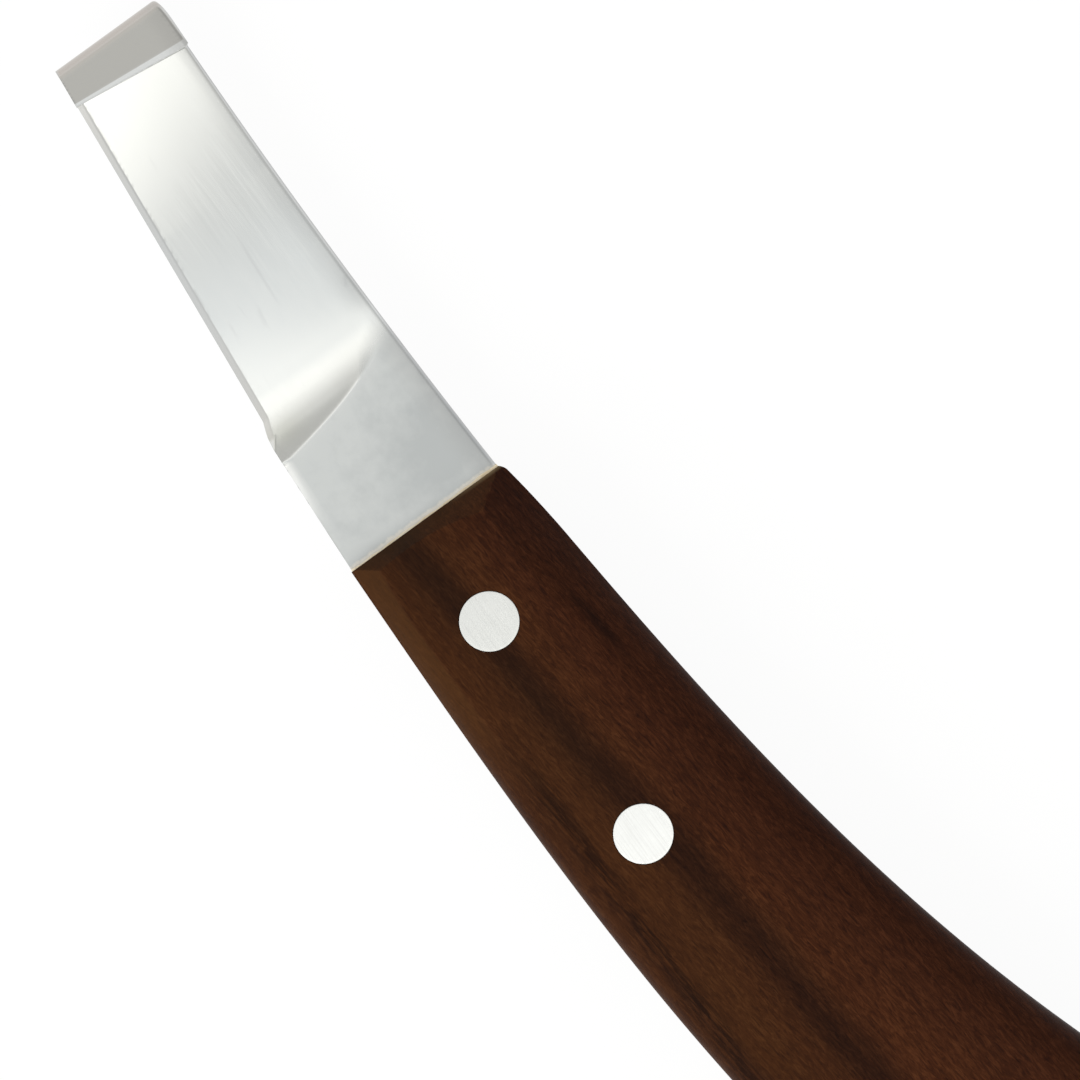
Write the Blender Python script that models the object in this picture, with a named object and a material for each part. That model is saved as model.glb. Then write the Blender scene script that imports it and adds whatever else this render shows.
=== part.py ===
"""Hooked hoof knife: a forged blade let into a one-piece wooden handle and held by two flush rivets.

The knife lies on the back cheek of its handle. The origin is on that cheek, midway between the
rivets. +X points to the hooked tip, +Y to the cutting edge, +Z to the front cheek. Sizes are metres.
"""
import math

import bmesh
import bpy
import numpy as np

# Rivets: a post with a flat head, driven into a sleeve with a flat head
RIVET_SPACING = 0.0315
FRONT_RIVET_SETBACK = 0.0145
RIVET_HEAD_DIAMETER = 0.00735
RIVET_HEAD_THICKNESS = 0.0016
RIVET_HEAD_SINK = 0.00005
SLEEVE_DIAMETER = 0.0052
SLEEVE_BORE = 0.0034

# Clearance between pieces that fit together, and how far a cutter runs past what it cuts
FIT_GAP = 0.0003
CUTTER_OVERRUN = 0.003

# Handle: each long side is a straight taper plus a cubic sweep, given as its size at SWEEP_REACH
HANDLE_LENGTH = 0.128
HANDLE_THICKNESS = 0.017
CUT_SIDE_FRONT = 0.00995
CUT_SIDE_TAPER = 0.0284
CUT_SIDE_SWEEP = 0.00754
SPINE_SIDE_FRONT = 0.01288
SPINE_SIDE_TAPER = 0.0729
SPINE_SIDE_SWEEP = 0.00959
SWEEP_REACH = 0.1
FRONT_CORNER_WIDTH = 0.0011
FRONT_CORNER_LENGTH = 0.0024
FRONT_BEVEL = 0.0031
EDGE_ROUND = 0.0042
BUTT_ROUND_LENGTH = 0.034
BUTT_FULLNESS = 2.5
BUTT_EDGE_ROUND = 0.0055

# Tang and the kerf that takes it
TANG_BEHIND_RIVET = 0.012
TANG_INSET = 0.0001
KERF_END_GAP = 0.0008
KERF_SAW_RADIUS = 0.060
PLATE_THICKNESS = 0.0024

# Blade outline, measured from the front of the handle
BLADE_REACH = 0.0698
SHOULDER_START = 0.0157
SHOULDER_END = 0.0210
SHOULDER_CUT_SIDE = 0.00893
BLADE_HEEL_CUT_SIDE = 0.00802
BLADE_TIP_CUT_SIDE = 0.00345
SPINE_WAIST = 0.01088
SPINE_WAIST_REACH = 0.038

# Blade grind: the wheel leaves a hollow at the heel where it runs out of the plate
GRIND_REACH = 0.02205
GRIND_DEPTH = 0.00125
GRIND_DEPTH_AT_HOOK = 0.00045
GRIND_WHEEL_RADIUS = 0.017
SPINE_LAND = 0.0007
SPINE_ROUND = 0.0008
EDGE_BEVEL = 0.00095
EDGE_THICKNESS = 0.00035
EDGE_EASING = 0.00020

# Bow of the blade and its hook
BOW_START = 0.018
BOW_LEAD = 0.006
BOW_ANGLE = math.radians(6)
HOOK_RADIUS = 0.0034
HOOK_ANGLE = math.radians(155)
HOOK_THICKNESS = 0.0015
THINNING_LENGTH = 0.020
LIP_AT_CUT_SIDE = 0.0026
LIP_AT_SPINE = 0.0046
LIP_EDGE_THICKNESS = 0.0004

# Facets: how many steps make up each round or long stretch
ROUND_SEGMENTS = 48
CORNER_STEPS = 4
BUTT_STEPS = 14
SIDE_STEPS = 20
KERF_STEPS = 8
PLACES_ACROSS = 6
TANG_STEPS = 8
RICASSO_STEPS = 3
RUN_OUT_STEPS = 5
BLADE_STEPS = 10
HOOK_STEPS = 14
LIP_STEPS = 3
PATH_POINTS = 4000
WELD_DISTANCE = 1e-6
SHARP_ANGLE = math.radians(30)

# Places that follow from the sizes above
FRONT_X = RIVET_SPACING / 2 + FRONT_RIVET_SETBACK
MID_Z = HANDLE_THICKNESS / 2
TANG_LENGTH = FRONT_RIVET_SETBACK + RIVET_SPACING + TANG_BEHIND_RIVET
KERF_LENGTH = TANG_LENGTH + KERF_END_GAP
TANG_ROOT_CUT_SIDE = CUT_SIDE_FRONT - TANG_INSET
TANG_ROOT_SPINE = SPINE_SIDE_FRONT - FRONT_CORNER_WIDTH - TANG_INSET
HOOK_START = BLADE_REACH - HOOK_RADIUS * (1 - math.sin(BOW_ANGLE)) - HOOK_THICKNESS / 2
HOOK_END = HOOK_START + HOOK_RADIUS * (HOOK_ANGLE - BOW_ANGLE)


def material(name, colour, roughness, metallic):
    """A plain Principled material."""
    made = bpy.data.materials.new(name)
    made.use_nodes = True
    shader = made.node_tree.nodes["Principled BSDF"]
    shader.inputs["Base Color"].default_value = (*colour, 1)
    shader.inputs["Roughness"].default_value = roughness
    shader.inputs["Metallic"].default_value = metallic
    return made


def finished_object(name, bm, finish=None):
    """Weld a bmesh, turn its faces out and put it in the scene. With no finish it is a cutter."""
    bmesh.ops.remove_doubles(bm, verts=bm.verts, dist=WELD_DISTANCE)
    bmesh.ops.triangulate(bm, faces=[face for face in bm.faces if len(face.verts) > 4])
    bmesh.ops.recalc_face_normals(bm, faces=bm.faces)
    mesh = bpy.data.meshes.new(name)
    bm.to_mesh(mesh)
    bm.free()
    mesh.shade_smooth()
    mesh.set_sharp_from_angle(angle=SHARP_ANGLE)
    made = bpy.data.objects.new(name, mesh)
    bpy.context.collection.objects.link(made)
    if finish:
        mesh.materials.append(finish)
    else:
        made.hide_render = True
        made.display_type = "WIRE"
    return made


def cut(body, cutter):
    """Take the cutter's shape out of the body."""
    modifier = body.modifiers.new(cutter.name, "BOOLEAN")
    modifier.operation = "DIFFERENCE"
    modifier.solver = "EXACT"
    modifier.object = cutter


def loft(name, loops, finish=None, end_cap=True):
    """A skin over a row of closed loops with equal numbers of points, with flat ends."""
    bm = bmesh.new()
    rows = [[bm.verts.new(point) for point in loop] for loop in loops]
    for near, far in zip(rows, rows[1:]):
        for k in range(len(near)):
            bm.faces.new((near[k - 1], near[k], far[k], far[k - 1]))
    bm.faces.new(rows[0])
    if end_cap:
        bm.faces.new(rows[-1])
    return finished_object(name, bm, finish)


def turned(name, profile, centre_x, finish=None):
    """A profile of (radius, height) points, from axis to axis, spun about a vertical line."""
    bm = bmesh.new()
    points = [bm.verts.new((radius, 0, height)) for radius, height in profile]
    edges = [bm.edges.new(pair) for pair in zip(points, points[1:])]
    bmesh.ops.spin(
        bm,
        geom=points + edges,
        cent=(0, 0, 0),
        axis=(0, 0, 1),
        angle=math.tau,
        steps=ROUND_SEGMENTS,
        use_merge=True,
    )
    bmesh.ops.translate(bm, verts=bm.verts, vec=(centre_x, 0, 0))
    return finished_object(name, bm, finish)


def side_sweep(back, taper, sweep):
    """How far a handle side has spread at a distance behind the handle's front."""
    return taper * back + sweep * (back / SWEEP_REACH) ** 3


def handle_sides(back):
    """Y of the cutting side and of the spine side of the handle, before its butt is rounded."""
    corner = FRONT_CORNER_WIDTH * max(0.0, 1 - back / FRONT_CORNER_LENGTH) ** 2
    cut_side = CUT_SIDE_FRONT + side_sweep(back, CUT_SIDE_TAPER, -CUT_SIDE_SWEEP)
    spine_side = SPINE_SIDE_FRONT - corner + side_sweep(back, SPINE_SIDE_TAPER, SPINE_SIDE_SWEEP)
    return cut_side, -spine_side


def handle_section(back, width_share):
    """One cross-section of the handle: flat cheeks, flat narrow sides and rounded edges.

    At the front the section is cut off level where the bevelled end passes through it. At the
    butt it narrows about its middle and its height follows the rounded end.
    """
    cut_side, spine_side = handle_sides(back)
    middle = (cut_side + spine_side) / 2
    half_width = (cut_side - spine_side) / 2 * width_share
    to_end = max(0.0, BUTT_EDGE_ROUND - (HANDLE_LENGTH - back))
    end_fall = BUTT_EDGE_ROUND - math.sqrt(BUTT_EDGE_ROUND**2 - to_end**2)
    half_height = MID_Z - end_fall
    y_radius = min(EDGE_ROUND, half_width)
    z_radius = min(EDGE_ROUND, half_height)
    bevel_fall = max(0.0, FRONT_BEVEL - back)
    top_angle = math.asin(1 - min(bevel_fall / EDGE_ROUND, 1))
    points = []
    for quarter in range(4):
        y_sign = 1 if quarter in (0, 3) else -1
        z_sign = 1 if quarter < 2 else -1
        angles = np.linspace(0, top_angle, CORNER_STEPS + 1)
        for angle in angles if quarter % 2 == 0 else angles[::-1]:
            y = half_width - y_radius + y_radius * math.cos(angle)
            z = half_height - z_radius + z_radius * math.sin(angle)
            points.append((FRONT_X - back, middle + y_sign * y, MID_Z + z_sign * z))
    return points


def build_handle(wood, kerf, rivet_holes):
    """Sections from the front bevel to the butt, then the kerf and the rivet holes."""
    butt_start = HANDLE_LENGTH - BUTT_ROUND_LENGTH
    fronts = sorted((0.0, FRONT_CORNER_LENGTH / 2, FRONT_CORNER_LENGTH, FRONT_BEVEL))
    sides = np.linspace(fronts[-1], butt_start, SIDE_STEPS + 1)[1:]
    sections = [handle_section(back, 1.0) for back in (*fronts, *sides)]
    for turn in np.linspace(0, math.pi / 2, BUTT_STEPS + 1)[1:]:
        back = butt_start + BUTT_ROUND_LENGTH * math.sin(turn) ** (2 / BUTT_FULLNESS)
        sections.append(handle_section(back, max(math.cos(turn), 0.0) ** (2 / BUTT_FULLNESS)))
    handle = loft("handle", sections, wood, end_cap=False)
    cut(handle, kerf)
    for hole in rivet_holes:
        cut(handle, hole)


def saw_arc(y):
    """How far the round saw's cut falls short of its full depth, away from the rivet line."""
    return y**2 / (2 * KERF_SAW_RADIUS)


def build_kerf():
    """The saw cut for the tang: open at the handle's front and along both narrow sides."""
    half_gap = PLATE_THICKNESS / 2 + FIT_GAP
    spine_side = SPINE_SIDE_FRONT + side_sweep(KERF_LENGTH, SPINE_SIDE_TAPER, SPINE_SIDE_SWEEP)
    half_width = spine_side + CUTTER_OVERRUN
    across = np.linspace(-half_width, half_width, KERF_STEPS + 1)
    end = [(FRONT_X - KERF_LENGTH + saw_arc(y), y) for y in across]
    front = FRONT_X + CUTTER_OVERRUN
    outline = [(front, across[0]), *end, (front, across[-1])]
    loops = [[(x, y, MID_Z + side * half_gap) for x, y in outline] for side in (-1, 1)]
    return loft("kerf_cutter", loops)


def middle_line():
    """The plate's middle line from the tang's end to the hook's lip.

    Its slope is level along the tang, dips where the bow starts, rises steadily to the hook, and then
    turns at a fixed radius into the straight lip. Adding up the slope gives the line's run and rise.
    """
    bends = (-TANG_LENGTH, BOW_START, BOW_START + BOW_LEAD, HOOK_START, HOOK_END)
    slopes = (0, 0, -BOW_ANGLE, BOW_ANGLE, HOOK_ANGLE)
    along = np.linspace(-TANG_LENGTH, HOOK_END + LIP_AT_SPINE, PATH_POINTS)
    slope = np.interp(along, bends, slopes)
    step = along[1] - along[0]
    between = (slope[1:] + slope[:-1]) / 2
    run = np.concatenate(([0], np.cumsum(np.cos(between)) * step)) - TANG_LENGTH
    rise = np.concatenate(([0], np.cumsum(np.sin(between)) * step))
    return along, run, rise, slope


def blade_sides(reach):
    """Y of the cutting side and of the spine at distances in front of the handle.

    Behind the handle's front, where the distance is negative, the tang follows the handle's sides.
    """
    back = np.maximum(-reach, 0)
    cut_side = np.interp(
        reach,
        (0, SHOULDER_START, SHOULDER_END, BLADE_REACH),
        (TANG_ROOT_CUT_SIDE, SHOULDER_CUT_SIDE, BLADE_HEEL_CUT_SIDE, BLADE_TIP_CUT_SIDE),
    )
    cut_side = cut_side + side_sweep(back, CUT_SIDE_TAPER, -CUT_SIDE_SWEEP)
    hollow = (TANG_ROOT_SPINE - SPINE_WAIST) * (1 - np.maximum(reach, 0) / SPINE_WAIST_REACH) ** 2
    spine = SPINE_WAIST + hollow + side_sweep(back, SPINE_SIDE_TAPER, SPINE_SIDE_SWEEP)
    return cut_side, -spine


def blade_stations(across, ground):
    """Distances along the plate, one for each place across it, for every cross-section in turn.

    The lines that bound the stretches are the sawn tang end, the handle's front, the line where the
    grind starts, the wheel's lowest point, the two ends of the hook's bend and the slanted lip.
    """
    cut_side, spine = blade_sides(np.array(-TANG_LENGTH))
    lines = (
        (0, saw_arc(cut_side + (spine - cut_side) * across) - TANG_LENGTH),
        (TANG_STEPS, np.zeros_like(across)),
        (RICASSO_STEPS, GRIND_REACH - np.sqrt(2 * GRIND_WHEEL_RADIUS * GRIND_DEPTH * ground)),
        (RUN_OUT_STEPS, np.full_like(across, GRIND_REACH)),
        (BLADE_STEPS, np.full_like(across, HOOK_START)),
        (HOOK_STEPS, np.full_like(across, HOOK_END)),
        (LIP_STEPS, HOOK_END + LIP_AT_CUT_SIDE + (LIP_AT_SPINE - LIP_AT_CUT_SIDE) * across),
    )
    stations = [lines[0][1]]
    for (_, near), (count, far) in zip(lines, lines[1:]):
        stations += [near + (far - near) * k / count for k in range(1, count + 1)]
    return stations


def build_blade(steel, rivet_holes):
    """Cross-sections carried along the middle line, from the tang's end to the lip of the hook."""
    along, run, rise, slope = middle_line()
    last = PLACES_ACROSS - 1
    across = np.linspace(0, 1, PLACES_ACROSS)
    ground = np.clip((1 - across) / (1 - SPINE_LAND / (TANG_ROOT_CUT_SIDE + TANG_ROOT_SPINE)), 0, 1)
    thin_start = HOOK_START - THINNING_LENGTH
    thin_lines = (thin_start, HOOK_START, HOOK_END, HOOK_END + LIP_AT_SPINE)
    thicknesses = (PLATE_THICKNESS, HOOK_THICKNESS, HOOK_THICKNESS, LIP_EDGE_THICKNESS)
    depths = (GRIND_DEPTH, GRIND_DEPTH_AT_HOOK, GRIND_DEPTH_AT_HOOK, 0)
    loops = []
    for distance in blade_stations(across, ground):
        reach = np.interp(distance, along, run)
        height = np.interp(distance, along, rise)
        tilt = np.interp(distance, along, slope)
        cut_side, spine = blade_sides(reach)

        # Offsets of the two faces from the middle line: the lower is flat, the upper is ground
        half = np.interp(distance, thin_lines, thicknesses) / 2
        depth = np.interp(distance, thin_lines, depths) * ground
        run_out = np.maximum(GRIND_REACH - distance, 0) ** 2 / (2 * GRIND_WHEEL_RADIUS)
        top = half - np.maximum(depth - run_out, 0)

        # The cutting side is bevelled to an edge between the shoulder and the hook, and eased elsewhere
        sharp_lines = (SHOULDER_START, SHOULDER_END, HOOK_START, HOOK_END)
        sharp = np.interp(distance[0], sharp_lines, (0, 1, 1, 0))
        bevel = EDGE_EASING + (EDGE_BEVEL - EDGE_EASING) * sharp
        thick = top[0] + half[0]
        easing = min(EDGE_EASING, thick / 2)
        edge = top[0] - easing * (1 - sharp) - (thick - EDGE_THICKNESS) * sharp

        # Around the section: edge, upper face, middle of the spine, lower face, edge
        inner = cut_side - bevel + (spine + SPINE_ROUND - cut_side + bevel) * across
        places = [0, *range(PLACES_ACROSS), last, *range(last, 0, -1), 0]
        sides = [cut_side[0], *inner, spine[last], *inner[:0:-1], cut_side[0]]
        offsets = [edge, *top, (top[last] - half[last]) / 2, *-half[:0:-1], -half[0]]
        loops.append([
            (
                FRONT_X + reach[k] - offset * math.sin(tilt[k]),
                side,
                MID_Z + height[k] + offset * math.cos(tilt[k]),
            )
            for k, side, offset in zip(places, sides, offsets)
        ])
    blade = loft("blade", loops, steel)
    for hole in rivet_holes:
        cut(blade, hole)


def build_rivet(place, centre_x, bright_metal):
    """A post from the front cheek, a sleeve from the back cheek, and the stepped hole they sit in."""
    head = RIVET_HEAD_DIAMETER / 2
    sleeve = SLEEVE_DIAMETER / 2
    bore = SLEEVE_BORE / 2
    pin = bore - FIT_GAP
    low_face = RIVET_HEAD_SINK
    low_seat = low_face + RIVET_HEAD_THICKNESS
    high_face = HANDLE_THICKNESS - RIVET_HEAD_SINK
    high_seat = high_face - RIVET_HEAD_THICKNESS
    sleeve_top = high_seat - FIT_GAP
    pin_end = low_seat + FIT_GAP
    turned(
        f"{place}_rivet_post",
        (
            (0, high_face),
            (head, high_face),
            (head, high_seat),
            (pin, high_seat),
            (pin, pin_end),
            (0, pin_end),
        ),
        centre_x,
        bright_metal,
    )
    turned(
        f"{place}_rivet_sleeve",
        (
            (0, low_seat),
            (bore, low_seat),
            (bore, sleeve_top),
            (sleeve, sleeve_top),
            (sleeve, low_seat),
            (head, low_seat),
            (head, low_face),
            (0, low_face),
        ),
        centre_x,
        bright_metal,
    )
    wide = head + FIT_GAP
    narrow = sleeve + FIT_GAP
    low_step = low_seat + FIT_GAP
    high_step = high_seat - FIT_GAP
    return turned(
        f"{place}_rivet_cutter",
        (
            (0, HANDLE_THICKNESS + CUTTER_OVERRUN),
            (wide, HANDLE_THICKNESS + CUTTER_OVERRUN),
            (wide, high_step),
            (narrow, high_step),
            (narrow, low_step),
            (wide, low_step),
            (wide, -CUTTER_OVERRUN),
            (0, -CUTTER_OVERRUN),
        ),
        centre_x,
    )


def main():
    for old in list(bpy.data.objects):
        bpy.data.objects.remove(old)
    steel = material("blade_steel", (0.62, 0.63, 0.62), 0.28, 1.0)
    wood = material("handle_wood", (0.042, 0.015, 0.007), 0.42, 0.0)
    bright_metal = material("rivet_metal", (0.80, 0.80, 0.78), 0.32, 1.0)
    rivet_holes = [
        build_rivet("front", RIVET_SPACING / 2, bright_metal),
        build_rivet("rear", -RIVET_SPACING / 2, bright_metal),
    ]
    build_handle(wood, build_kerf(), rivet_holes)
    build_blade(steel, rivet_holes)


main()
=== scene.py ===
"""Looks of the hooked hoof knife: satin ground steel, dark oiled wood and bright flush rivets.

Sizes are metres in the knife's own frame. The origin is on the handle's back cheek, midway between the
rivets. +X points to the hooked tip, +Y to the cutting edge and +Z to the front cheek. Every piece is a
surface worked out on grids of points: a grid has one row for each cross-section or distance, and one
column for each place across or round it.
"""
import math

import bmesh
import bpy
import numpy as np
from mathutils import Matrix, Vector


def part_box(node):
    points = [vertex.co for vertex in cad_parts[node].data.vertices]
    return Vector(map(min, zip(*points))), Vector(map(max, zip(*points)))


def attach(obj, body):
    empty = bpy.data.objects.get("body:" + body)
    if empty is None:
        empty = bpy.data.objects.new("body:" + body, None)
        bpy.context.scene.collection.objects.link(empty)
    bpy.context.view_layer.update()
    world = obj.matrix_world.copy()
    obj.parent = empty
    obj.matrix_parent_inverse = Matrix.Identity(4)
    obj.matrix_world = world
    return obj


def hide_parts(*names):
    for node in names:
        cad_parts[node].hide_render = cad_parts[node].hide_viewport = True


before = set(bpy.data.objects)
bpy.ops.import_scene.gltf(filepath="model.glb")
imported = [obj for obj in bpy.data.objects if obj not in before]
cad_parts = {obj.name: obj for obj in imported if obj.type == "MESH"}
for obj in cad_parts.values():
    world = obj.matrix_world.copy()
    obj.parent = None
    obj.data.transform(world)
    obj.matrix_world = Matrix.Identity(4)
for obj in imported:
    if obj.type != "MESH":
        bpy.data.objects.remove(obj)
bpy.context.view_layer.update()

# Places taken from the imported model
HANDLE_LOW, HANDLE_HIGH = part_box("handle")
FRONT_X = HANDLE_HIGH.x
HANDLE_LENGTH = HANDLE_HIGH.x - HANDLE_LOW.x
HANDLE_THICKNESS = HANDLE_HIGH.z
MID_Z = HANDLE_THICKNESS / 2
SIDES = ("cut", "spine")
OUTWARD = (1, -1)
RIVET_PLACES = ("front", "rear")
RIVET_BOXES = {place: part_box(f"{place}_rivet_post") for place in RIVET_PLACES}
RIVET_X = {place: (low.x + high.x) / 2 for place, (low, high) in RIVET_BOXES.items()}
RIVET_RADIUS = (RIVET_BOXES["front"][1].x - RIVET_BOXES["front"][0].x) / 2
RIVET_MARGIN = 1.7 * RIVET_RADIUS

# Handle sides: a straight taper plus a cubic sweep, given as its size at SWEEP_REACH
CUT_SIDE_FRONT = 0.00995
CUT_SIDE_TAPER = 0.0284
CUT_SIDE_SWEEP = -0.00754
SPINE_SIDE_FRONT = 0.01288
SPINE_SIDE_TAPER = 0.0729
SPINE_SIDE_SWEEP = 0.00959
SWEEP_REACH = 0.1
# Front corner by the spine: how far in and how far back its round and the easing behind it reach
FRONT_CORNER = (0.00045, 0.0010)
FRONT_EASING = (0.00056, 0.0120)
# Bevelled front, and the stretches in which the sides leave it
FRONT_BEVELS = {"cut": 0.0019, "spine": 0.0033}
FRONT_BEVEL_HOLLOW = 0.0008
FRONT_SETTLE = 0.012
SQUARE_STRETCH = 0.005
TURNED_STRETCH = 0.020
# Long edges: how far they reach in and down at distances behind the front, and how flat a chamfer they are
EDGE_LINES = (0.0, 0.008, 0.040)
EDGE_FLATNESS = (1.0, 0.8, 0.0)
EDGE_INSETS = {"cut": (0.0030, 0.0027, 0.0036), "spine": (0.0057, 0.0060, 0.0068)}
EDGE_DROPS = {"cut": (0.0023, 0.0026, 0.0038), "spine": (0.0036, 0.0042, 0.0046)}
# Butt
BUTT_ROUND_LENGTH = 0.034
BUTT_FULLNESS = 2.5
BUTT_EDGE_ROUND = 0.0055
BUTT_BEVEL_SHARE = 0.5
# Marks on the handle: painted shade on the spine side and the cheek by it, darker on the cutting side behind
# the front, worn and painted light along the front of the cutting side, end grain and painted shade in front
DARK_AT_CUT_SIDE = 0.45
DARK_CUT_EDGE = 0.85
DARK_START = 0.65
DARK_AT_CHEEK = 0.65
DARK_FALL = 3
WEAR_AND_LIGHT_STRENGTHS = {"cut": 1.0, "spine": 0.0}
WEAR_FADE = (0.014, 0.036)
WEAR_GROWS = 0.15
WEAR_ENDS = 0.9
END_FADE = 0.35

# Tang, kerf and rivets
TANG_LENGTH = 0.058
KERF_END_GAP = 0.0008
KERF_SAW_RADIUS = 0.060
PLATE_THICKNESS = 0.0024
GLUE_FILM = 0.00004
RIVET_FIT = 0.00003
RIVET_HEAD_THICKNESS = 0.0016
RIVET_RIM = 0.00012
RIVET_CROWN = 0.00003
SLEEVE_RADIUS = 0.0026
SLEEVE_BORE_RADIUS = 0.0017

# Blade outline, measured from the front of the handle
BLADE_REACH = 0.06974
HEEL_REACHES = (0.0, 0.0157, 0.0176, 0.0190, 0.0199, 0.0210)
HEEL_CUT_SIDES = (0.00985, 0.00903, 0.00893, 0.00871, 0.00842, 0.00801)
TIP_CUT_SIDE = 0.00337
TANG_ROOT_SPINE = 0.01175
SPINE_WAIST = 0.01095
SPINE_WAIST_REACH = 0.038

# Grind, by places from 0 at the cutting side to 1 at the spine, and lines along the plate from the handle
GRIND_REACH = 0.0239
GRIND_REACH_MID_BLADE = 0.02347
GRIND_DEPTH = 0.00174
GRIND_DEPTH_AT_HOOK = 0.00124
GRIND_DEPTH_ON_LIP = 0.0009
GRIND_FALL = (0.435, 0.482)
GRIND_TWIST = 0.0002
TWIST_PIVOT = 0.35
TWIST_LINES = (0.024, 0.034)
WHEEL_RADIUS_AT_EDGE = 0.0205
WHEEL_RADIUS_AT_SPINE = 0.0150
WHEEL_TIGHTEST = 0.95
WHEEL_TIGHTENS = 1.6
WHEEL_LEAD_IN = 0.0010
# Near the spine the slope is ground so lightly that it brightens only at this depth
FAINT_GRIND = 0.0006
FAINT_PLACES = (0.64, 0.78)
FAINT_LINES = (0.0210, 0.0245)
# Crest where the hollow runs out on the tang: its rows, its softness and the painted highlight behind it
CREST_SHARE = 0.12
CREST_PLACES = (0.0, 0.5, 0.75, 0.85, 1.0)
CREST_SOFTNESS = (0.00010, 0.00008, 0.00006, 0.00013, 0.00045)
CREST_HIGHLIGHT = 0.40
CREST_HIGHLIGHT_LENGTH = 0.0006
CREST_HIGHLIGHT_ENDS = (0.80, 0.90)

# Cutting side: sharpened along the blade, eased along the tang and lighter there, as rubbed steel and painted
# highlight
EDGE_BEVEL = 0.00086
EDGE_SLOPE = math.tan(math.radians(31))
EDGE_THICKNESS = 0.00008
EDGE_STARTS = (0.0172, 0.0186)
EDGE_LEAST_SHARE = 0.02
EDGE_SHADE = (0.10, 0.36)
EDGE_SHADE_LINES = (0.030, 0.050)
EDGE_SHADE_RISES = (0.55, 0.9)
TANG_EASE_WIDTH = 0.0013
TANG_EASE_DROP = 0.00024
TANG_EASE_GROWS = (0.0030, 0.0140)
TANG_EASE_ENDS = (0.0148, 0.0156)
TANG_EASE_NARROWS = (0.0145, 0.0184)
TANG_RUB_AND_HIGHLIGHT_FALL = 0.7
# Painted shade on the edge wall along the tang
WALL_PAINTED_SHADE = 0.5

# Spine: a rounded nose, and how much painted shade darkens it and the faces beside it
SPINE_NOSE_AT_TANG = 0.00065
SPINE_NOSE_ON_BLADE = 0.0008
SPINE_NOSE_GROWS = (0.014, 0.026)
NOSE_SQUARENESS = 2.3
NOSE_PLACE = 0.03
NOSE_SHADE = 0.28
NOSE_ON_LIP = 0.5
SPINE_FADE = 0.82
SPINE_ON_FACE = 0.31
SPINE_ON_LIP = 0.20
SPINE_IN_HOLLOW = 0.08
HOLLOW_LENGTH = 0.0018

# Bow of the blade and its hook
BOW_START = 0.0185
BOW_DIP = 0.0240
BOW_DIP_EASE = 0.0008
BOW_LOWEST = 0.0430
BOW_SHORTENING = 0.00009
DIP_ANGLE = math.radians(6.5)
RISE_ANGLE = math.radians(6)
HOOK_RADIUS = 0.0034
HOOK_TOP_RADIUS = 0.0016
HOOK_ANGLE = math.radians(155)
HOOK_THICKNESS = 0.0018
HOOK_BULGE = 0.00025
HOOK_CORNER = 0.0003
HOOK_CORNER_LENGTH = 0.0016
THINNING_LENGTH = 0.020
BEND_TINT_FADE = 0.66
TINT_ON_LIP = 0.33
# Lip of the hook and the honed strip along its edge
LIP_AT_CUT_SIDE = 0.0040
LIP_AT_SPINE = 0.0059
LIP_EDGE_THICKNESS = 0.00025
LIP_CORNER = 0.0003
LIP_SHADE = 0.4
LIP_SHADE_WIDTH = 0.0002
HONE_AT_CUT_SIDE = 0.00038
HONE_AT_SPINE = 0.0008
HONE_SLOPE = math.tan(math.radians(24))
HONE_RUN_OUT = 0.80
HONE_SOFTNESS = 0.00005

# Places that follow from the sizes above
KERF_LENGTH = TANG_LENGTH + KERF_END_GAP
KERF_HALF = PLATE_THICKNESS / 2 + GLUE_FILM
HOOK_START = BLADE_REACH + BOW_SHORTENING - HOOK_RADIUS * (1 - math.sin(RISE_ANGLE)) - HOOK_THICKNESS / 2
HOOK_UPRIGHT = HOOK_START + HOOK_RADIUS * (math.pi / 2 - RISE_ANGLE)
HOOK_END = HOOK_UPRIGHT + HOOK_TOP_RADIUS * (HOOK_ANGLE - math.pi / 2)

# Glue bead at the joint, in shares of its size. A wave is its angle in a metre and its shift
GLUE_BEAD = 0.00022
GLUE_MEAN = 0.85
GLUE_LUMPS = 0.22
GLUE_RIPPLE = 0.12
GLUE_WAVES = ((1130, 0), (410, 1), (2300, 2))
GLUE_SWELL = 0.5
GLUE_SWELL_START = SPINE_WAIST / 2
GLUE_FORWARD = 0.3
GLUE_ASIDE = 0.2
GLUE_UP = 0.45
# Glue in the open edges of the kerf
KERF_GLUE_SINK = 0.00012
KERF_GLUE_DEPTH = 0.0030
KERF_GLUE_FIT = GLUE_FILM / 4
KERF_GLUE_OVERLAP = 0.0002
KERF_GLUE_BEHIND_FRONT = 0.0004

# Colours, linear
TANG_DARK = (0.485, 0.505, 0.51, 1)
TANG_LIGHT = (0.602, 0.622, 0.622, 1)
TANG_SPINE_SHADE = (0.94, 0.94, 0.945, 1)
FACE_DARK = (0.79, 0.805, 0.795, 1)
FACE_LIGHT = (0.85, 0.86, 0.845, 1)
HEEL_PAINTED_SHADE = (0.88, 0.88, 0.85, 1)
SMUDGE = (0.90, 0.90, 0.90, 1)
GLUE_FILM_COLOUR = (0.92, 0.87, 0.78, 1)
HONED_AND_HIGHLIGHT_COLOUR = (0.78, 0.78, 0.77, 1)
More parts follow.
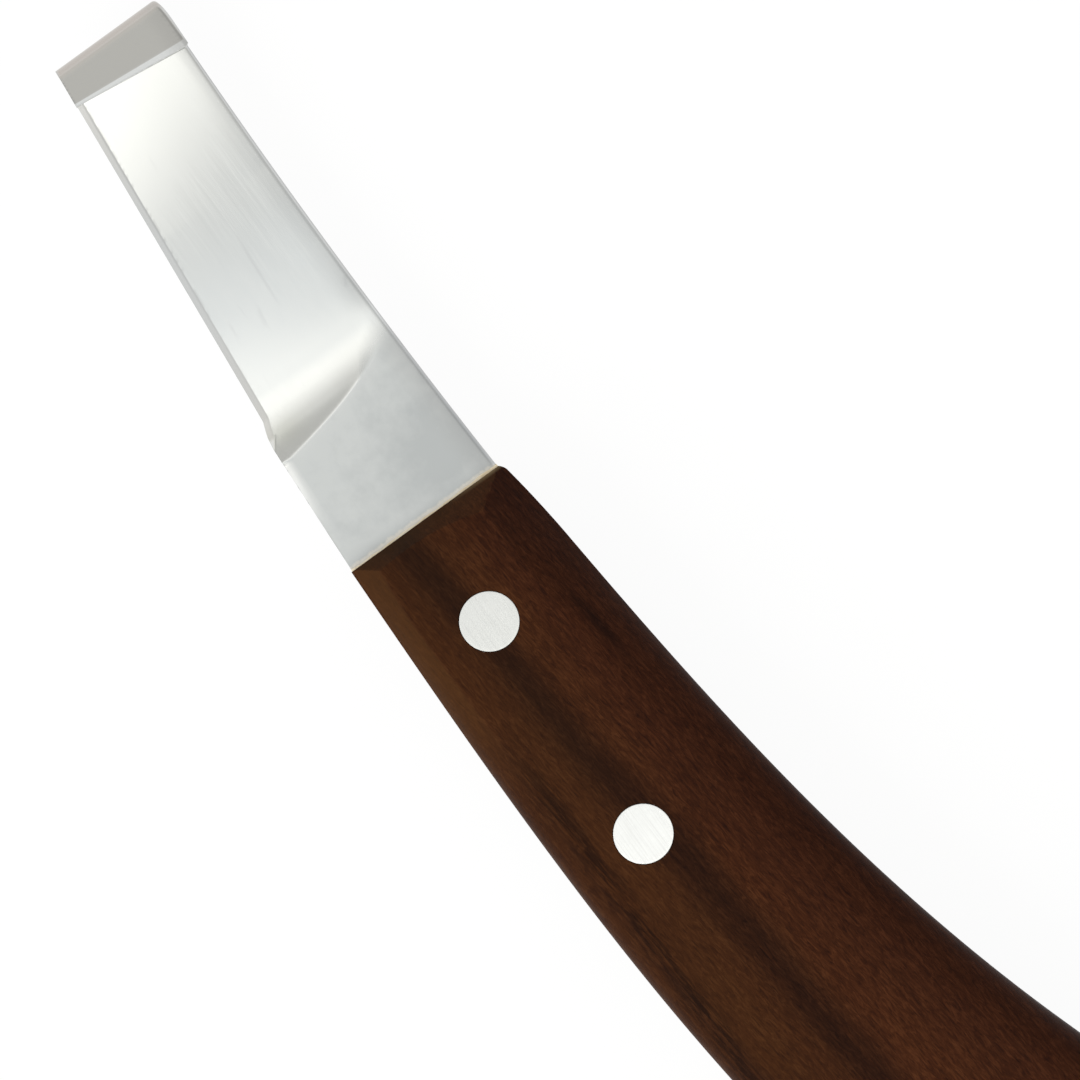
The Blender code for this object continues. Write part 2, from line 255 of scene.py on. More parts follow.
# Painted shade on the steel, laid on by the spine mark
PAINTED_SHADE_COLOUR = (0.40, 0.40, 0.396, 1)
BEND_COLOUR = (0.53, 0.495, 0.46, 1)
SCRATCH_COLOUR = (0.45, 0.45, 0.46, 1)
RIVET_BASE = (0.765, 0.775, 0.76, 1)
RIVET_PAINTED_HIGHLIGHT = (0.955, 0.965, 0.955, 1)
WOOD_DEEP = (0.0170, 0.0050, 0.0019, 1)
WOOD_MIDDLE = (0.0395, 0.0128, 0.0037, 1)
WOOD_LIGHT = (0.0710, 0.0262, 0.0082, 1)
# Painted shade on the handle's spine side; it also darkens the cutting side behind the front
WOOD_DARK_SIDE = (0.64, 0.60, 0.68, 1)
WOOD_FRONT = (0.87, 0.87, 0.90, 1)
WOOD_RED = (1.0, 0.86, 0.92, 1)
WOOD_HEART = (0.42, 0.43, 0.55, 1)
WOOD_PORE = (0.0110, 0.0035, 0.0016, 1)
WOOD_WORN_AND_LIT = (0.0520, 0.0221, 0.0062, 1)
WOOD_END_GRAIN_AND_SHADE = (0.0290, 0.0137, 0.0048, 1)
WOOD_RUBBED = (0.17, 0.125, 0.070, 1)
GLUE_CREAM = (0.95, 0.88, 0.72, 1)
GLUE_BROWN = (0.80, 0.67, 0.46, 1)
KERF_GLUE_PALE = (0.060, 0.030, 0.014, 1)
KERF_GLUE_DARK = (0.030, 0.013, 0.006, 1)

# Scratches and clouds. A kind of noise is its detail, roughness and distortion, where it has any
NOISE_MIDDLE = 0.5
FINE_KIND = (3.0, 0.6)
DEEP_KIND = (1.0, 0.4)
DEEP_SHIFT = (31.7, 8.3, 4.1)
DEEP_STRETCH = (1.6, 0.7, 0.7)
DEEP_RANGE = (0.68, 0.80)
PATCH_KIND = (4.0, 0.62)
PATCH_RANGE = (0.32, 0.68)

# Steel. A range is two ends that become 0 and 1, or four: old and new. A spot is a place (X, Y) and a size
STEEL_STREAKS = {"Length": 0.012, "Width": 0.00022}
STEEL_HAIRS = {"Length": 0.006, "Width": 0.00007}
STEEL_CLOUD = 0.0022
STEEL_BROAD_CLOUD = 0.011
TANG_CLOUD = 0.5
TANG_ACROSS = (-0.012, 0.008, 0.25, 0.65)
TANG_ALONG = (0.034, 0.046, -0.10, 0.34)
TANG_PAINTED_LIGHT_BY_HANDLE = (0.0330, 0.0308, 0.0, 0.6)
TANG_SPINE_SHADE_BAND = (-0.0112, 0.0015)
TANG_DARKER_SPOT = ((0.0375, -0.007), (0.0075, 0.006))
TANG_DARKENING = -0.8
FILM_SIZES = (0.010, 0.0011, 0.010)
FILM_KIND = (3.0, 0.6)
FILM_WAVER = -0.0009
FILM_RANGE = (FRONT_X + 0.00035, FRONT_X + 0.00005, 0.0, 0.75)
FILM_STARTS = (FRONT_X - 0.0012, FRONT_X - 0.0004)
FACE_STREAKS = (0.30, 0.20)
FACE_CLOUD = 0.25
SMUDGE_SPOT = ((0.0578, -0.0103), (0.0026, 0.0016))
HEEL_SHADE_SPOT = ((0.0487, 0.0068), (0.0016, 0.0030))
DEEP_STRENGTH = 0.07
HONED_AND_HIGHLIGHT_STRENGTH = 0.8
PLATE_ROUGHNESS = (0.0, 1.0, 0.30, 0.38)
FACE_ROUGHNESS = (0.3, 0.7, 0.13, 0.19)
HAIR_HEIGHT = 0.4
DEEP_HEIGHT = -0.3
CLOUD_HEIGHT = 0.5
STEEL_BUMP = 1.1e-6
# Single scratches on the blade: both ends as (X, Y), width and strength
SCRATCHES = (
    ((0.0719, -0.00264), (0.0610, -0.00182), 0.00020, 0.14),
    ((0.0635, 0.00032), (0.0594, 0.00090), 0.00020, 0.09),
    ((0.0625, 0.00070), (0.0601, 0.00112), 0.00018, 0.07),
    ((0.0637, 0.00430), (0.0608, 0.00460), 0.00022, 0.08),
    ((0.0855, 0.00040), (0.0830, 0.00050), 0.00016, 0.06),
    ((0.0599, -0.01040), (0.0583, -0.00960), 0.00026, 0.22),
)
SCRATCH_ENDS = (0.3, 0.7)

# Rivet metal
RIVET_STREAKS = {"Length": 0.007, "Width": 0.00013}
RIVET_CLOUD = 0.004
RIVET_HIGHLIGHT_CLOUD = 0.15
RIVET_HIGHLIGHT_ALONG = (0.005, -0.005, 0.0, 0.85)
RIVET_SCRATCHED = (0.45, 0.75, 0.0, 0.24)
RIVET_ROUGHNESS = (0.3, 0.7, 0.30, 0.42)
RIVET_BUMP = 4.0e-6

# Wood. Its figure is noise of sizes along the grain, across it and in depth. A band is a place and a width
GRAIN_ANGLE = math.radians(5.8)
WOOD_FIGURE = {
    "wander": ((0.022, 0.009, 0.012), 2.0, 0.5),
    "ripple": ((0.0016, 0.00036, 0.0008), 2.0, 0.65, 1.0),
    "fibre": ((0.010, 0.00032, 0.0008), 3.0, 0.6, 0.3),
    "broad": ((0.040, 0.0040, 0.006), 3.0, 0.55, 0.3),
    "pores": ((0.0019, 0.00014, 0.0003), 1.0, 0.5),
    "heart_gaps": ((0.014, 0.0008, 0.003), 3.0, 0.6),
    "line_gaps": ((0.0045, 0.00042, 0.002), 3.0, 0.65, 0.6),
}
WANDER_REACH = 0.0030
RIPPLE_STRENGTH = 1.7
FIBRE_STRENGTH = 0.7
BROAD_STRENGTH = 0.4
FIGURE_ACROSS = (-0.004, 0.004, 1.0, 0.65)
MIDDLE_TONE = 0.5
RED_WAVER = 0.008
RED_RANGE = (0.006, -0.004)
HEART_BAND = (-0.0002, 0.0025)
HEART_RANGE = (0.12, 0.44)
HEART_STRENGTH = 0.95
LINE_BAND = (0.0067, 0.0015)
LINE_RANGE = (0.40, 0.54)
LINE_ALONG = (0.006, -0.006)
SMEAR_ALONG = (0.008, 0.0050)
SMEAR_BAND = (-0.0109, 0.0006)
WOOD_FRONT_RANGE = (0.016, 0.028)
PORE_RANGE = (0.62, 0.72)
PORE_STRENGTH = 0.45
WEAR_AND_LIGHT_STRENGTH = 0.45
END_GRAIN_AND_SHADE_STRENGTH = 0.62
RUBBED_ALONG = (FRONT_X - 0.0005, FRONT_X, 0.0, 0.75)
RUBBED_ACROSS = (-0.004, -0.0105)
WOOD_ROUGHNESS = (0.3, 0.7, 0.44, 0.56)
WOOD_SPECULAR = 0.05
RIPPLE_HEIGHT = 0.6
WOOD_BUMP = 8.0e-6

# Glue
GLUE_CLOUD = 0.0030
GLUE_ROUGHNESS = (0.0, 1.0, 0.65, 0.45)
GLUE_SPECULAR = 0.15

# Studio
FRAME_CENTRE = (0.02009, -0.01067)
FRAME_WIDTH = 0.13012
FOCUS_HEIGHT = 0.0095
CAMERA_HEIGHT = 2.0
CAMERA_CLIP = (0.1, 20)
IMAGE_UP = (0.80947, -0.58715)
SENSOR_WIDTH = 36
# Light from above at directions along the knife and across it, from -1 to 1, and the plain walls
RAMP_TOP = 1.5
STRIP_LEVELS = (
    (-1.0, 0.75), (-0.50, 1.00), (-0.25, 1.44), (-0.15, 1.40), (-0.08, 1.22), (-0.04, 1.00), (0.0, 0.80),
    (0.06, 0.82), (0.16, 0.95), (0.20, 1.03), (0.24, 1.18), (0.31, 1.30), (0.38, 1.24), (0.46, 1.10),
    (0.52, 0.80), (0.57, 0.62), (0.63, 0.54), (0.76, 0.61), (1.0, 0.80),
)
SIDE_LEVELS = (
    (-1.0, 0.95), (-0.45, 0.78), (-0.10, 0.94), (0.05, 1.0), (0.16, 0.99), (0.26, 0.92), (0.36, 1.00),
    (0.48, 1.40), (0.64, 1.40), (0.80, 1.0), (1.0, 0.95),
)
WALL_LEVEL = 0.80
WALL_RANGE = (0.50, 0.80)
HORIZON_RANGE = (0.05, 0.22, 1.0, 0.0)
COOL_LIGHT = (0.98, 1.0, 1.003, 1)
WARM_LIGHT = (1.012, 1.0, 0.962, 1)
COOL_PLACE = 0.12
COOL_TO_WARM = (0.04, 0.19)
FLOOR_REACH = 6
FLOOR_DROP = 0.00005
FLOOR_LEVEL = 0.9
FLOOR_ROUGHNESS = 0.9
FLOOR_WHITENESS = 0.94
KEY_SIZE = 0.9
KEY_POWER = 12.0
KEY_PLACE = (-0.25, 1.0, 0.9)
KEY_AIM = (0.0, 0.0, 0.0)

# How finely surfaces are divided: blade
PATH_POINTS = 6000
TANG_ROWS = 58
SHOULDER_ROWS = 22
CREST_ROWS = 28
SLOPE_ROWS = 30
BLADE_ROWS = 100
BEND_ROWS = 32
TOP_BEND_ROWS = 28
LIP_ROWS = 18
HONE_ROWS = 8
FACE_COLUMNS = 48
BEVEL_COLUMNS = 10
NOSE_COLUMNS = 20
# Handle
CHEEK_COLUMNS = 24
KERF_ROWS = 84
FRONT_CROWDING = 0.75
SIDE_ROWS = 30
BUTT_ROWS = 48
BACK_WALL_COLUMNS = 2
WALL_STEPS = 3
BELOW_BEVEL_STEPS = 4
ABOVE_BEVEL_STEPS = 16
HOLE_RINGS = 8
# Rivets and glue
CROWN_STEPS = 12
RIM_STEPS = 6
TURNING_STEPS = 96
GLUE_STEPS = 420
GLUE_SIDES = 12
KERF_GLUE_STEPS = 60
KERF_GLUE_END_STEPS = 6
# Welding and shading
WELD_DISTANCE = 1e-6
SHARP_ANGLE = math.radians(22)


# Surfaces


def smooth_step(value, start, end):
    """0 before start, 1 after end, and the usual S between: 3 t squared less 2 t cubed."""
    share = np.clip((value - start) / (end - start), 0, 1)
    return share * share * (3 - 2 * share)


def lerp(start, end, share):
    """The point a share of the way from start to end."""
    return start + (end - start) * share


def bell(value, centre, width):
    """1 at a centre, fading to both sides: e to minus the square of the distance in widths."""
    return np.exp(-(((value - centre) / width) ** 2))


def points_of(x, y, z):
    """Three arrays that fit one grid, stacked into points."""
    return np.stack(np.broadcast_arrays(x, y, z), axis=-1)


def across(near, far, columns):
    """Straight rows from each point of one line to the matching point of another."""
    share = np.linspace(0, 1, columns + 1)[None, :, None]
    return lerp(near[:, None, :], far[:, None, :], share)


class Skin:
    """The patches of one piece's surface, with its marks: masks kept at the points for its material."""

    def __init__(self, *mark_names):
        self.mark_names = mark_names
        self.points = []
        self.quads = []
        self.marks = []
        self.count = 0

    def add(self, grid, closed=False, kept=None, **marks):
        """Take in a grid of points. A closed grid joins its last column to its first. kept chooses cells."""
        rows, columns = grid.shape[:2]
        numbers = np.arange(rows * columns).reshape(rows, columns) + self.count
        if closed:
            numbers = np.concatenate((numbers, numbers[:, :1]), axis=1)
        corners = (numbers[:-1, :-1], numbers[1:, :-1], numbers[1:, 1:], numbers[:-1, 1:])
        quads = np.stack(corners, axis=-1)
        quads = quads.reshape(-1, 4) if kept is None else quads[kept]
        self.points.append(grid.reshape(-1, 3))
        self.quads.append(quads)
        values = [np.broadcast_to(marks.get(name, 0.0), (rows, columns)).ravel() for name in self.mark_names]
        self.marks.append(values)
        self.count += rows * columns

    def piece(self, name, finish):
        """Weld the patches, turn every face outwards and put the piece in the scene."""
        mesh = bpy.data.meshes.new(name)
        mesh.from_pydata(np.concatenate(self.points), [], np.concatenate(self.quads).tolist())
        for number, mark in enumerate(self.mark_names):
            values = np.concatenate([patch[number] for patch in self.marks]).astype(np.float32)
            mesh.attributes.new(mark, "FLOAT", "POINT").data.foreach_set("value", values)
        shell = bmesh.new()
        shell.from_mesh(mesh)
        bmesh.ops.remove_doubles(shell, verts=shell.verts, dist=WELD_DISTANCE)
        bmesh.ops.recalc_face_normals(shell, faces=shell.faces)
        shell.to_mesh(mesh)
        shell.free()
        mesh.shade_smooth()
        mesh.set_sharp_from_angle(angle=SHARP_ANGLE)
        mesh.materials.append(finish)
        made = bpy.data.objects.new(name, mesh)
        bpy.context.scene.collection.objects.link(made)
        return made


def border_of(grid, first, last):
    """The closed line of points round the cells from row first to row last, over the grid's whole width."""
    return np.concatenate((grid[first, :-1], grid[first:last, -1], grid[last, :0:-1], grid[last:first:-1, 0]))


def add_holed_sheet(skin, grid, holes, **marks):
    """A sheet with round holes. In each hole's band of cells, rings lead from the band's border to a circle.

    A hole is its first and last row and the points of its circle, one for each point of the border. The
    sheet's marks fade to nothing at the circle.
    """
    kept = np.ones((grid.shape[0] - 1, grid.shape[1] - 1), bool)
    shares = np.linspace(0, 1, HOLE_RINGS + 1)[:, None, None]
    spread_marks = {name: np.broadcast_to(value, grid.shape[:2]) for name, value in marks.items()}
    for first, last, circle in holes:
        kept[first:last] = False
        rings = lerp(border_of(grid, first, last)[None], circle[None], shares)
        fade = 1 - shares[:, :, 0]
        borders = {name: border_of(value, first, last) for name, value in spread_marks.items()}
        skin.add(rings, closed=True, **{name: border[None] * fade for name, border in borders.items()})
    skin.add(grid, kept=kept, **marks)


def circle_towards(border, centre_x, radius, height):
    """Points on a circle round (centre_x, 0), each in the direction of its border point."""
    angle = np.arctan2(border[:, 1], border[:, 0] - centre_x)
    return points_of(centre_x + radius * np.cos(angle), radius * np.sin(angle), height)


def rows_round(grid, centre_x, margin):
    """First and last row of a sheet whose middles lie within a margin of a place along X."""
    middle = grid[:, grid.shape[1] // 2, 0]
    rows = np.nonzero(np.abs(middle - centre_x) < margin)[0]
    return rows[0], rows[-1]


def turned(skin, profile, centre_x):
    """A profile of (radius, height) points carried round a vertical line through (centre_x, 0)."""
    turn = np.linspace(0, math.tau, TURNING_STEPS, endpoint=False)[None]
    radius, height = profile.T[:, :, None]
    skin.add(points_of(centre_x + radius * np.cos(turn), radius * np.sin(turn), height), closed=True)


# Blade


def middle_line():
    """The plate's middle line: its slope is level, dips, rises to the hook and turns over in two arcs.

    Adding up the cosine and the sine of the slope gives the line's run and rise.
    """
    before_dip = DIP_ANGLE * (1 - BOW_DIP_EASE / (BOW_DIP - BOW_START))
    after_dip = DIP_ANGLE * (1 - BOW_DIP_EASE / (BOW_LOWEST - BOW_DIP))
    dip = (BOW_DIP - BOW_DIP_EASE, BOW_DIP + BOW_DIP_EASE)
    bends = (-TANG_LENGTH, BOW_START, *dip, BOW_LOWEST, HOOK_START, HOOK_UPRIGHT, HOOK_END)
    slopes = (0, 0, -before_dip, -after_dip, 0, RISE_ANGLE, math.pi / 2, HOOK_ANGLE)
    along = np.linspace(-TANG_LENGTH, HOOK_END + LIP_AT_SPINE, PATH_POINTS)
    slope = np.interp(along, bends, slopes)
    step = along[1] - along[0]
    between = (slope[1:] + slope[:-1]) / 2
    run = np.concatenate(([0], np.cumsum(np.cos(between)) * step)) - TANG_LENGTH
    rise = np.concatenate(([0], np.cumsum(np.sin(between)) * step))
    return along, run, rise, slope


MIDDLE_LINE = middle_line()


def spread(back, taper, sweep):
    """How far a handle side has spread at a distance behind the front: a straight part and a cubic."""
    return taper * back + sweep * (back / SWEEP_REACH) ** 3


def sawn_back(length, y):
    """How far behind the front a saw cut's round end is at a Y: its length less y squared over two radii."""
    return length - y**2 / (2 * KERF_SAW_RADIUS)


def blade_sides(reach):
    """Y of the cutting side, straight between points, and the spine, a parabola. The tang spreads behind."""
    back = np.maximum(-reach, 0)
    cut_side = np.interp(reach, (*HEEL_REACHES, BLADE_REACH), (*HEEL_CUT_SIDES, TIP_CUT_SIDE))
    cut_side = cut_side + spread(back, CUT_SIDE_TAPER, CUT_SIDE_SWEEP)
    hollow = (TANG_ROOT_SPINE - SPINE_WAIST) * (1 - np.maximum(reach, 0) / SPINE_WAIST_REACH) ** 2
    return cut_side, -(SPINE_WAIST + hollow + spread(back, SPINE_SIDE_TAPER, SPINE_SIDE_SWEEP))


def grind_share(place):
    """Share of the full grind depth: 1 at the cutting side, falling faster and faster to the spine."""
    return 1 - GRIND_FALL[0] * place - GRIND_FALL[1] * place**2


def wheel_radius(place):
    """Radius of the wheel's hollow, which shrinks towards the spine at a slackening rate."""
    to_tightest = np.maximum(1 - place / WHEEL_TIGHTEST, 0)
    return lerp(WHEEL_RADIUS_AT_SPINE, WHEEL_RADIUS_AT_EDGE, to_tightest**WHEEL_TIGHTENS)


def grind_reach(place):
    """Where the wheel cut deepest: a little nearer the handle from the middle of the blade to the spine."""
    return lerp(GRIND_REACH, GRIND_REACH_MID_BLADE, np.minimum(2 * place, 1))


def run_out(place):
    """Distance from the wheel's lowest point to the crest: the root of twice its radius times its depth."""
    return np.sqrt(2 * wheel_radius(place) * GRIND_DEPTH * grind_share(place))


def crest_reach(place):
    """Distance of the crest in front of the handle."""
    return grind_reach(place) - run_out(place)


def lip_end(place):
    """Distance along the plate of the slanted edge of the hook's lip, with its spine corner rounded off."""
    corner = np.maximum(place - 1, 0) / NOSE_PLACE
    return HOOK_END + lerp(LIP_AT_CUT_SIDE, LIP_AT_SPINE, np.minimum(place, 1)) - LIP_CORNER * corner**2


def hone_width(place):
    """Width of the honed strip along the lip's edge."""
    return lerp(HONE_AT_CUT_SIDE, HONE_AT_SPINE, np.minimum(place, 1))


def hone_strength(place):
    """1 over most of the lip, running out to 0 at the spine, where the strip is dull."""
    return 1 - smooth_step(place, HONE_RUN_OUT, 1.0)


def blade_stations(place):
    """Distances along the plate, a row for each cross-section and a column for each place across.

    They run evenly between lines: the sawn end of the tang, the handle's front, both sides of the crest
    where the wheel ran out, the wheel's lowest point, the ends of the hook's two arcs, the start of the
    honed strip and the lip's edge.
    """
    cut_side, spine = blade_sides(np.array(-TANG_LENGTH))
    near = -sawn_back(TANG_LENGTH, lerp(cut_side, spine, place))
    crest = crest_reach(place)
    beside = CREST_SHARE * run_out(place)
    lines = (
        (TANG_ROWS, 0),
        (SHOULDER_ROWS, crest - beside),
        (CREST_ROWS, crest + beside),
        (SLOPE_ROWS, grind_reach(place)),
        (BLADE_ROWS, HOOK_START),
        (BEND_ROWS, HOOK_UPRIGHT),
        (TOP_BEND_ROWS, HOOK_END),
        (LIP_ROWS, lip_end(place) - hone_width(place)),
        (HONE_ROWS, lip_end(place)),
    )
    parts = [near[None]]
    for rows, line in lines:
        far = np.broadcast_to(line, place.shape)
        parts.append(lerp(near, far, np.linspace(0, 1, rows + 1)[1:, None]))
        near = far
    return np.concatenate(parts)


def blade_offsets(distance, place):
    """Heights of the upper and lower face off the middle line, and how much of the upper face is ground.

    The upper face is the plate less the grind, whose depth fades by the square of the distance to the
    wheel's lowest point. In the lip the lower face, which is the outside of the hook, stays straight up
    to its honed strip, and the upper face closes in on it.
    """
    thinning = (HOOK_START - THINNING_LENGTH, HOOK_START)
    half = np.interp(distance, thinning, (PLATE_THICKNESS, HOOK_THICKNESS)) / 2
    depths = (GRIND_DEPTH, GRIND_DEPTH_AT_HOOK, GRIND_DEPTH_ON_LIP)
    depth = np.interp(distance, (*thinning, HOOK_END), depths) * grind_share(place)
    to_lowest = grind_reach(place) - distance
    to_lowest = (to_lowest + np.hypot(to_lowest, WHEEL_LEAD_IN)) / 2
    taken = depth - to_lowest**2 / (2 * wheel_radius(place))
    softness = np.interp(place, CREST_PLACES, CREST_SOFTNESS)
    upper = half - (taken + np.sqrt(taken**2 + softness**2)) / 2
    upper = upper + GRIND_TWIST * (place - TWIST_PIVOT) * smooth_step(distance, *TWIST_LINES)
    to_edge = lip_end(place) - distance
    hone = hone_width(place)
    lower = -half + np.clip(1 - to_edge / hone, 0, 1) * hone * HONE_SLOPE
    lip_share = np.clip((distance - HOOK_END) / (lip_end(place) - HOOK_END), 0, 1)
    edge_height = -HOOK_THICKNESS / 2 + hone * HONE_SLOPE + LIP_EDGE_THICKNESS
    upper = lerp(upper, edge_height, lip_share)
    faint = smooth_step(place, *FAINT_PLACES) * (1 - smooth_step(distance, *FAINT_LINES))
    ground = smooth_step(taken, -softness, lerp(softness, FAINT_GRIND, faint))
    return upper, lower, ground


def blade_patch(place, lay):
    """One patch of the blade. lay turns a place's sides and face heights into Y, height and marks.

    A point at a height off the middle line moves square to the line's slope.
    """
    distance = blade_stations(place)
    place = np.broadcast_to(place, distance.shape)
    along, run, rise, slope = MIDDLE_LINE
    reach = np.interp(distance, along, run)
    tilt = np.interp(distance, along, slope)
    cut_side, spine = blade_sides(reach)
    corner = bell(distance, HOOK_UPRIGHT, HOOK_CORNER_LENGTH)
    spine = spine - HOOK_BULGE * smooth_step(distance, HOOK_START, HOOK_UPRIGHT) + HOOK_CORNER * corner
    sharp = np.interp(distance, (*EDGE_STARTS, HOOK_START, HOOK_UPRIGHT), (0, 1, 1, 0))
    bevel = lerp(TANG_EASE_WIDTH, EDGE_BEVEL, smooth_step(distance, *TANG_EASE_NARROWS))
    nose = lerp(SPINE_NOSE_AT_TANG, SPINE_NOSE_ON_BLADE, smooth_step(distance, *SPINE_NOSE_GROWS))
    nose = lerp(nose, SPINE_NOSE_AT_TANG, smooth_step(distance, HOOK_START, HOOK_END))
    face = lerp(cut_side - bevel, spine + nose, place)
    upper, lower, ground = blade_offsets(distance, place)
    eased = smooth_step(distance, *TANG_EASE_GROWS) * (1 - smooth_step(distance, *TANG_EASE_ENDS))
    drop = TANG_EASE_DROP * eased + EDGE_BEVEL * EDGE_SLOPE * sharp
    edge = np.maximum(upper - drop, lower + EDGE_THICKNESS)
    y, height, marks = lay(
        dict(cut_side=cut_side, spine=spine, nose=nose, face=face, upper=upper, lower=lower,
             edge=edge, bevel=bevel, ground=ground, sharp=sharp, eased=eased, distance=distance, place=place)
    )
    x = FRONT_X + reach - height * np.sin(tilt)
    z = MID_Z + np.interp(distance, along, rise) + height * np.cos(tilt)
    return points_of(x, y, z), marks


def honed_strip(at):
    """1 on the strip of the lip that is honed, 0 elsewhere."""
    start = lip_end(at["place"]) - hone_width(at["place"])
    return smooth_step(at["distance"] - start, -HONE_SOFTNESS, HONE_SOFTNESS) * hone_strength(at["place"])


def bend_tint(at):
    """1 on the outside of the hook's bend, falling to a faint tint on the lip, 0 on the blade."""
    on_bend = smooth_step(at["distance"], HOOK_START, HOOK_UPRIGHT)
    along = (at["distance"] - HOOK_UPRIGHT) / (HOOK_END - HOOK_UPRIGHT)
    return on_bend * np.interp(along, (BEND_TINT_FADE, 1.0), (1.0, TINT_ON_LIP))


def spine_tone(at):
    """How much painted shade darkens the faces beside the spine: less at the wheel's lowest point and on the
    hook.
    """
    in_hollow = bell(at["distance"], GRIND_REACH_MID_BLADE, HOLLOW_LENGTH)
    on_blade = lerp(SPINE_ON_FACE, SPINE_IN_HOLLOW, in_hollow)
    return lerp(on_blade, SPINE_ON_LIP, smooth_step(at["distance"], HOOK_START, HOOK_END))


def crest_highlight(at):
    """Painted highlight on the tang behind the crest: e to minus the distance, and nothing near the spine."""
    behind = crest_reach(at["place"]) - at["distance"]
    near = np.where(behind > 0, np.exp(-np.maximum(behind, 0) / CREST_HIGHLIGHT_LENGTH), 0)
    return CREST_HIGHLIGHT * near * (1 - smooth_step(at["place"], *CREST_HIGHLIGHT_ENDS))


def build_blade(steel):
    """The blade's skin: upper face, edge bevel, edge, lower face, round spine and the two ends."""
    # The spine mark is painted shade: by the spine, along the edge bevel and the lip's edge, and on the edge
    # wall
    skin = Skin("ground", "honed", "spine", "bend")
    face = np.linspace(0, 1, FACE_COLUMNS + 1)
    bevel_share = np.linspace(0, 1, BEVEL_COLUMNS + 1)
    turn = np.linspace(math.pi / 2, -math.pi / 2, NOSE_COLUMNS + 1)
    nose_in = 1 - np.abs(np.cos(turn)) ** (2 / NOSE_SQUARENESS)
    nose_up = np.sign(np.sin(turn)) * np.abs(np.sin(turn)) ** (2 / NOSE_SQUARENESS)

    def upper_face(at):
        """The face from the bevel to the nose, with a painted highlight behind the crest and painted shade
        beside the spine.
        """
        by_spine = spine_tone(at) * smooth_step(at["place"], SPINE_FADE, 1.0)
        return at["face"], at["upper"], dict(ground=at["ground"], honed=crest_highlight(at), spine=by_spine)

    def lower_face(at):
        """The back and the outside of the hook, with the honed strip and a painted shade line along its edge.
        """
        y = lerp(at["cut_side"], at["spine"] + at["nose"], at["place"])
        by_spine = spine_tone(at) * smooth_step(at["place"], HONE_RUN_OUT, 1.0)
        honed = honed_strip(at)
        to_edge = lip_end(at["place"]) - at["distance"]
        dark = np.maximum(by_spine, LIP_SHADE * honed * smooth_step(to_edge, LIP_SHADE_WIDTH, 0))
        return y, at["lower"], dict(ground=1.0, honed=honed, bend=bend_tint(at) * (1 - honed), spine=dark)

    def edge_bevel(at):
        """A straight slope up from the sharp edge, and a parabola where the tang is eased."""
        y = at["cut_side"] - at["bevel"] * bevel_share
        sharp = at["sharp"]
        up_edge = bevel_share / np.maximum(sharp, EDGE_LEAST_SHARE)
        rise = np.where(sharp > 0, np.minimum(up_edge, 1), 1 - (1 - bevel_share) ** 2)
        height = lerp(at["edge"], at["upper"], rise)
        shade = np.interp(at["distance"], EDGE_SHADE_LINES, EDGE_SHADE) * sharp
        line = shade * smooth_step(up_edge, *EDGE_SHADE_RISES)
        # Rubbed steel and painted highlight on the tang's eased corner
        lightened = at["eased"] * (1 - bevel_share) ** TANG_RUB_AND_HIGHLIGHT_FALL
        honed = np.clip((sharp - bevel_share) * BEVEL_COLUMNS, 0, 1)
        return y, height, dict(ground=at["ground"], honed=honed + lightened, spine=line)

    def edge_wall(at):
        """The narrow wall from the lower face up to the edge, with painted shade along the tang."""
        y = at["cut_side"] + 0 * bevel_share
        return y, lerp(at["lower"], at["edge"], bevel_share), dict(spine=WALL_PAINTED_SHADE * (at["sharp"] == 0))

    def spine_nose(at):
        """Half a superellipse from the upper face round to the lower one, with painted shade darkest at its
        outermost line.
        """
        middle = (at["upper"] + at["lower"]) / 2
        half = (at["upper"] - at["lower"]) / 2
        outermost = lerp(1.0, NOSE_ON_LIP, smooth_step(at["distance"], HOOK_UPRIGHT, HOOK_END))
        dark = lerp(outermost, spine_tone(at), smooth_step(nose_in, 0, NOSE_SHADE))
        marks = dict(ground=at["ground"], spine=dark, bend=bend_tint(at))
        return at["spine"] + at["nose"] * nose_in, middle + half * nose_up, marks

    upper, upper_marks = blade_patch(face, upper_face)
    lower, lower_marks = blade_patch(face, lower_face)
    bevel, bevel_marks = blade_patch(0 * bevel_share, edge_bevel)
    wall, wall_marks = blade_patch(0 * bevel_share, edge_wall)
    nose, nose_marks = blade_patch(1 + NOSE_PLACE * (1 - nose_in), spine_nose)
    upper_holes = []
    lower_holes = []
    for centre_x in RIVET_X.values():
        first, last = rows_round(upper, centre_x, RIVET_MARGIN)
        rim = circle_towards(border_of(upper, first, last), centre_x, SLEEVE_RADIUS + RIVET_FIT, 0)
        top = rim + (0, 0, MID_Z + PLATE_THICKNESS / 2)
        bottom = rim + (0, 0, MID_Z - PLATE_THICKNESS / 2)
        upper_holes.append((first, last, top))
        lower_holes.append((first, last, bottom))
        skin.add(np.stack((top, bottom)), closed=True)
    add_holed_sheet(skin, upper, upper_holes, **upper_marks)
    add_holed_sheet(skin, lower, lower_holes, **lower_marks)
    skin.add(bevel, **bevel_marks)
    skin.add(wall, **wall_marks)
    skin.add(nose, **nose_marks)
    tip = NOSE_COLUMNS // 2
    for end in (0, -1):
        top = np.concatenate((bevel[end], upper[end, 1:], nose[end, 1 : tip + 1]))
        bottom = np.concatenate((wall[end, ::-1], lower[end, 1:], nose[end, : tip - 1 : -1][1:]))
        skin.add(np.stack((top, bottom)), honed=1.0)
    return skin.piece("blade_ground_steel", steel)


# Handle


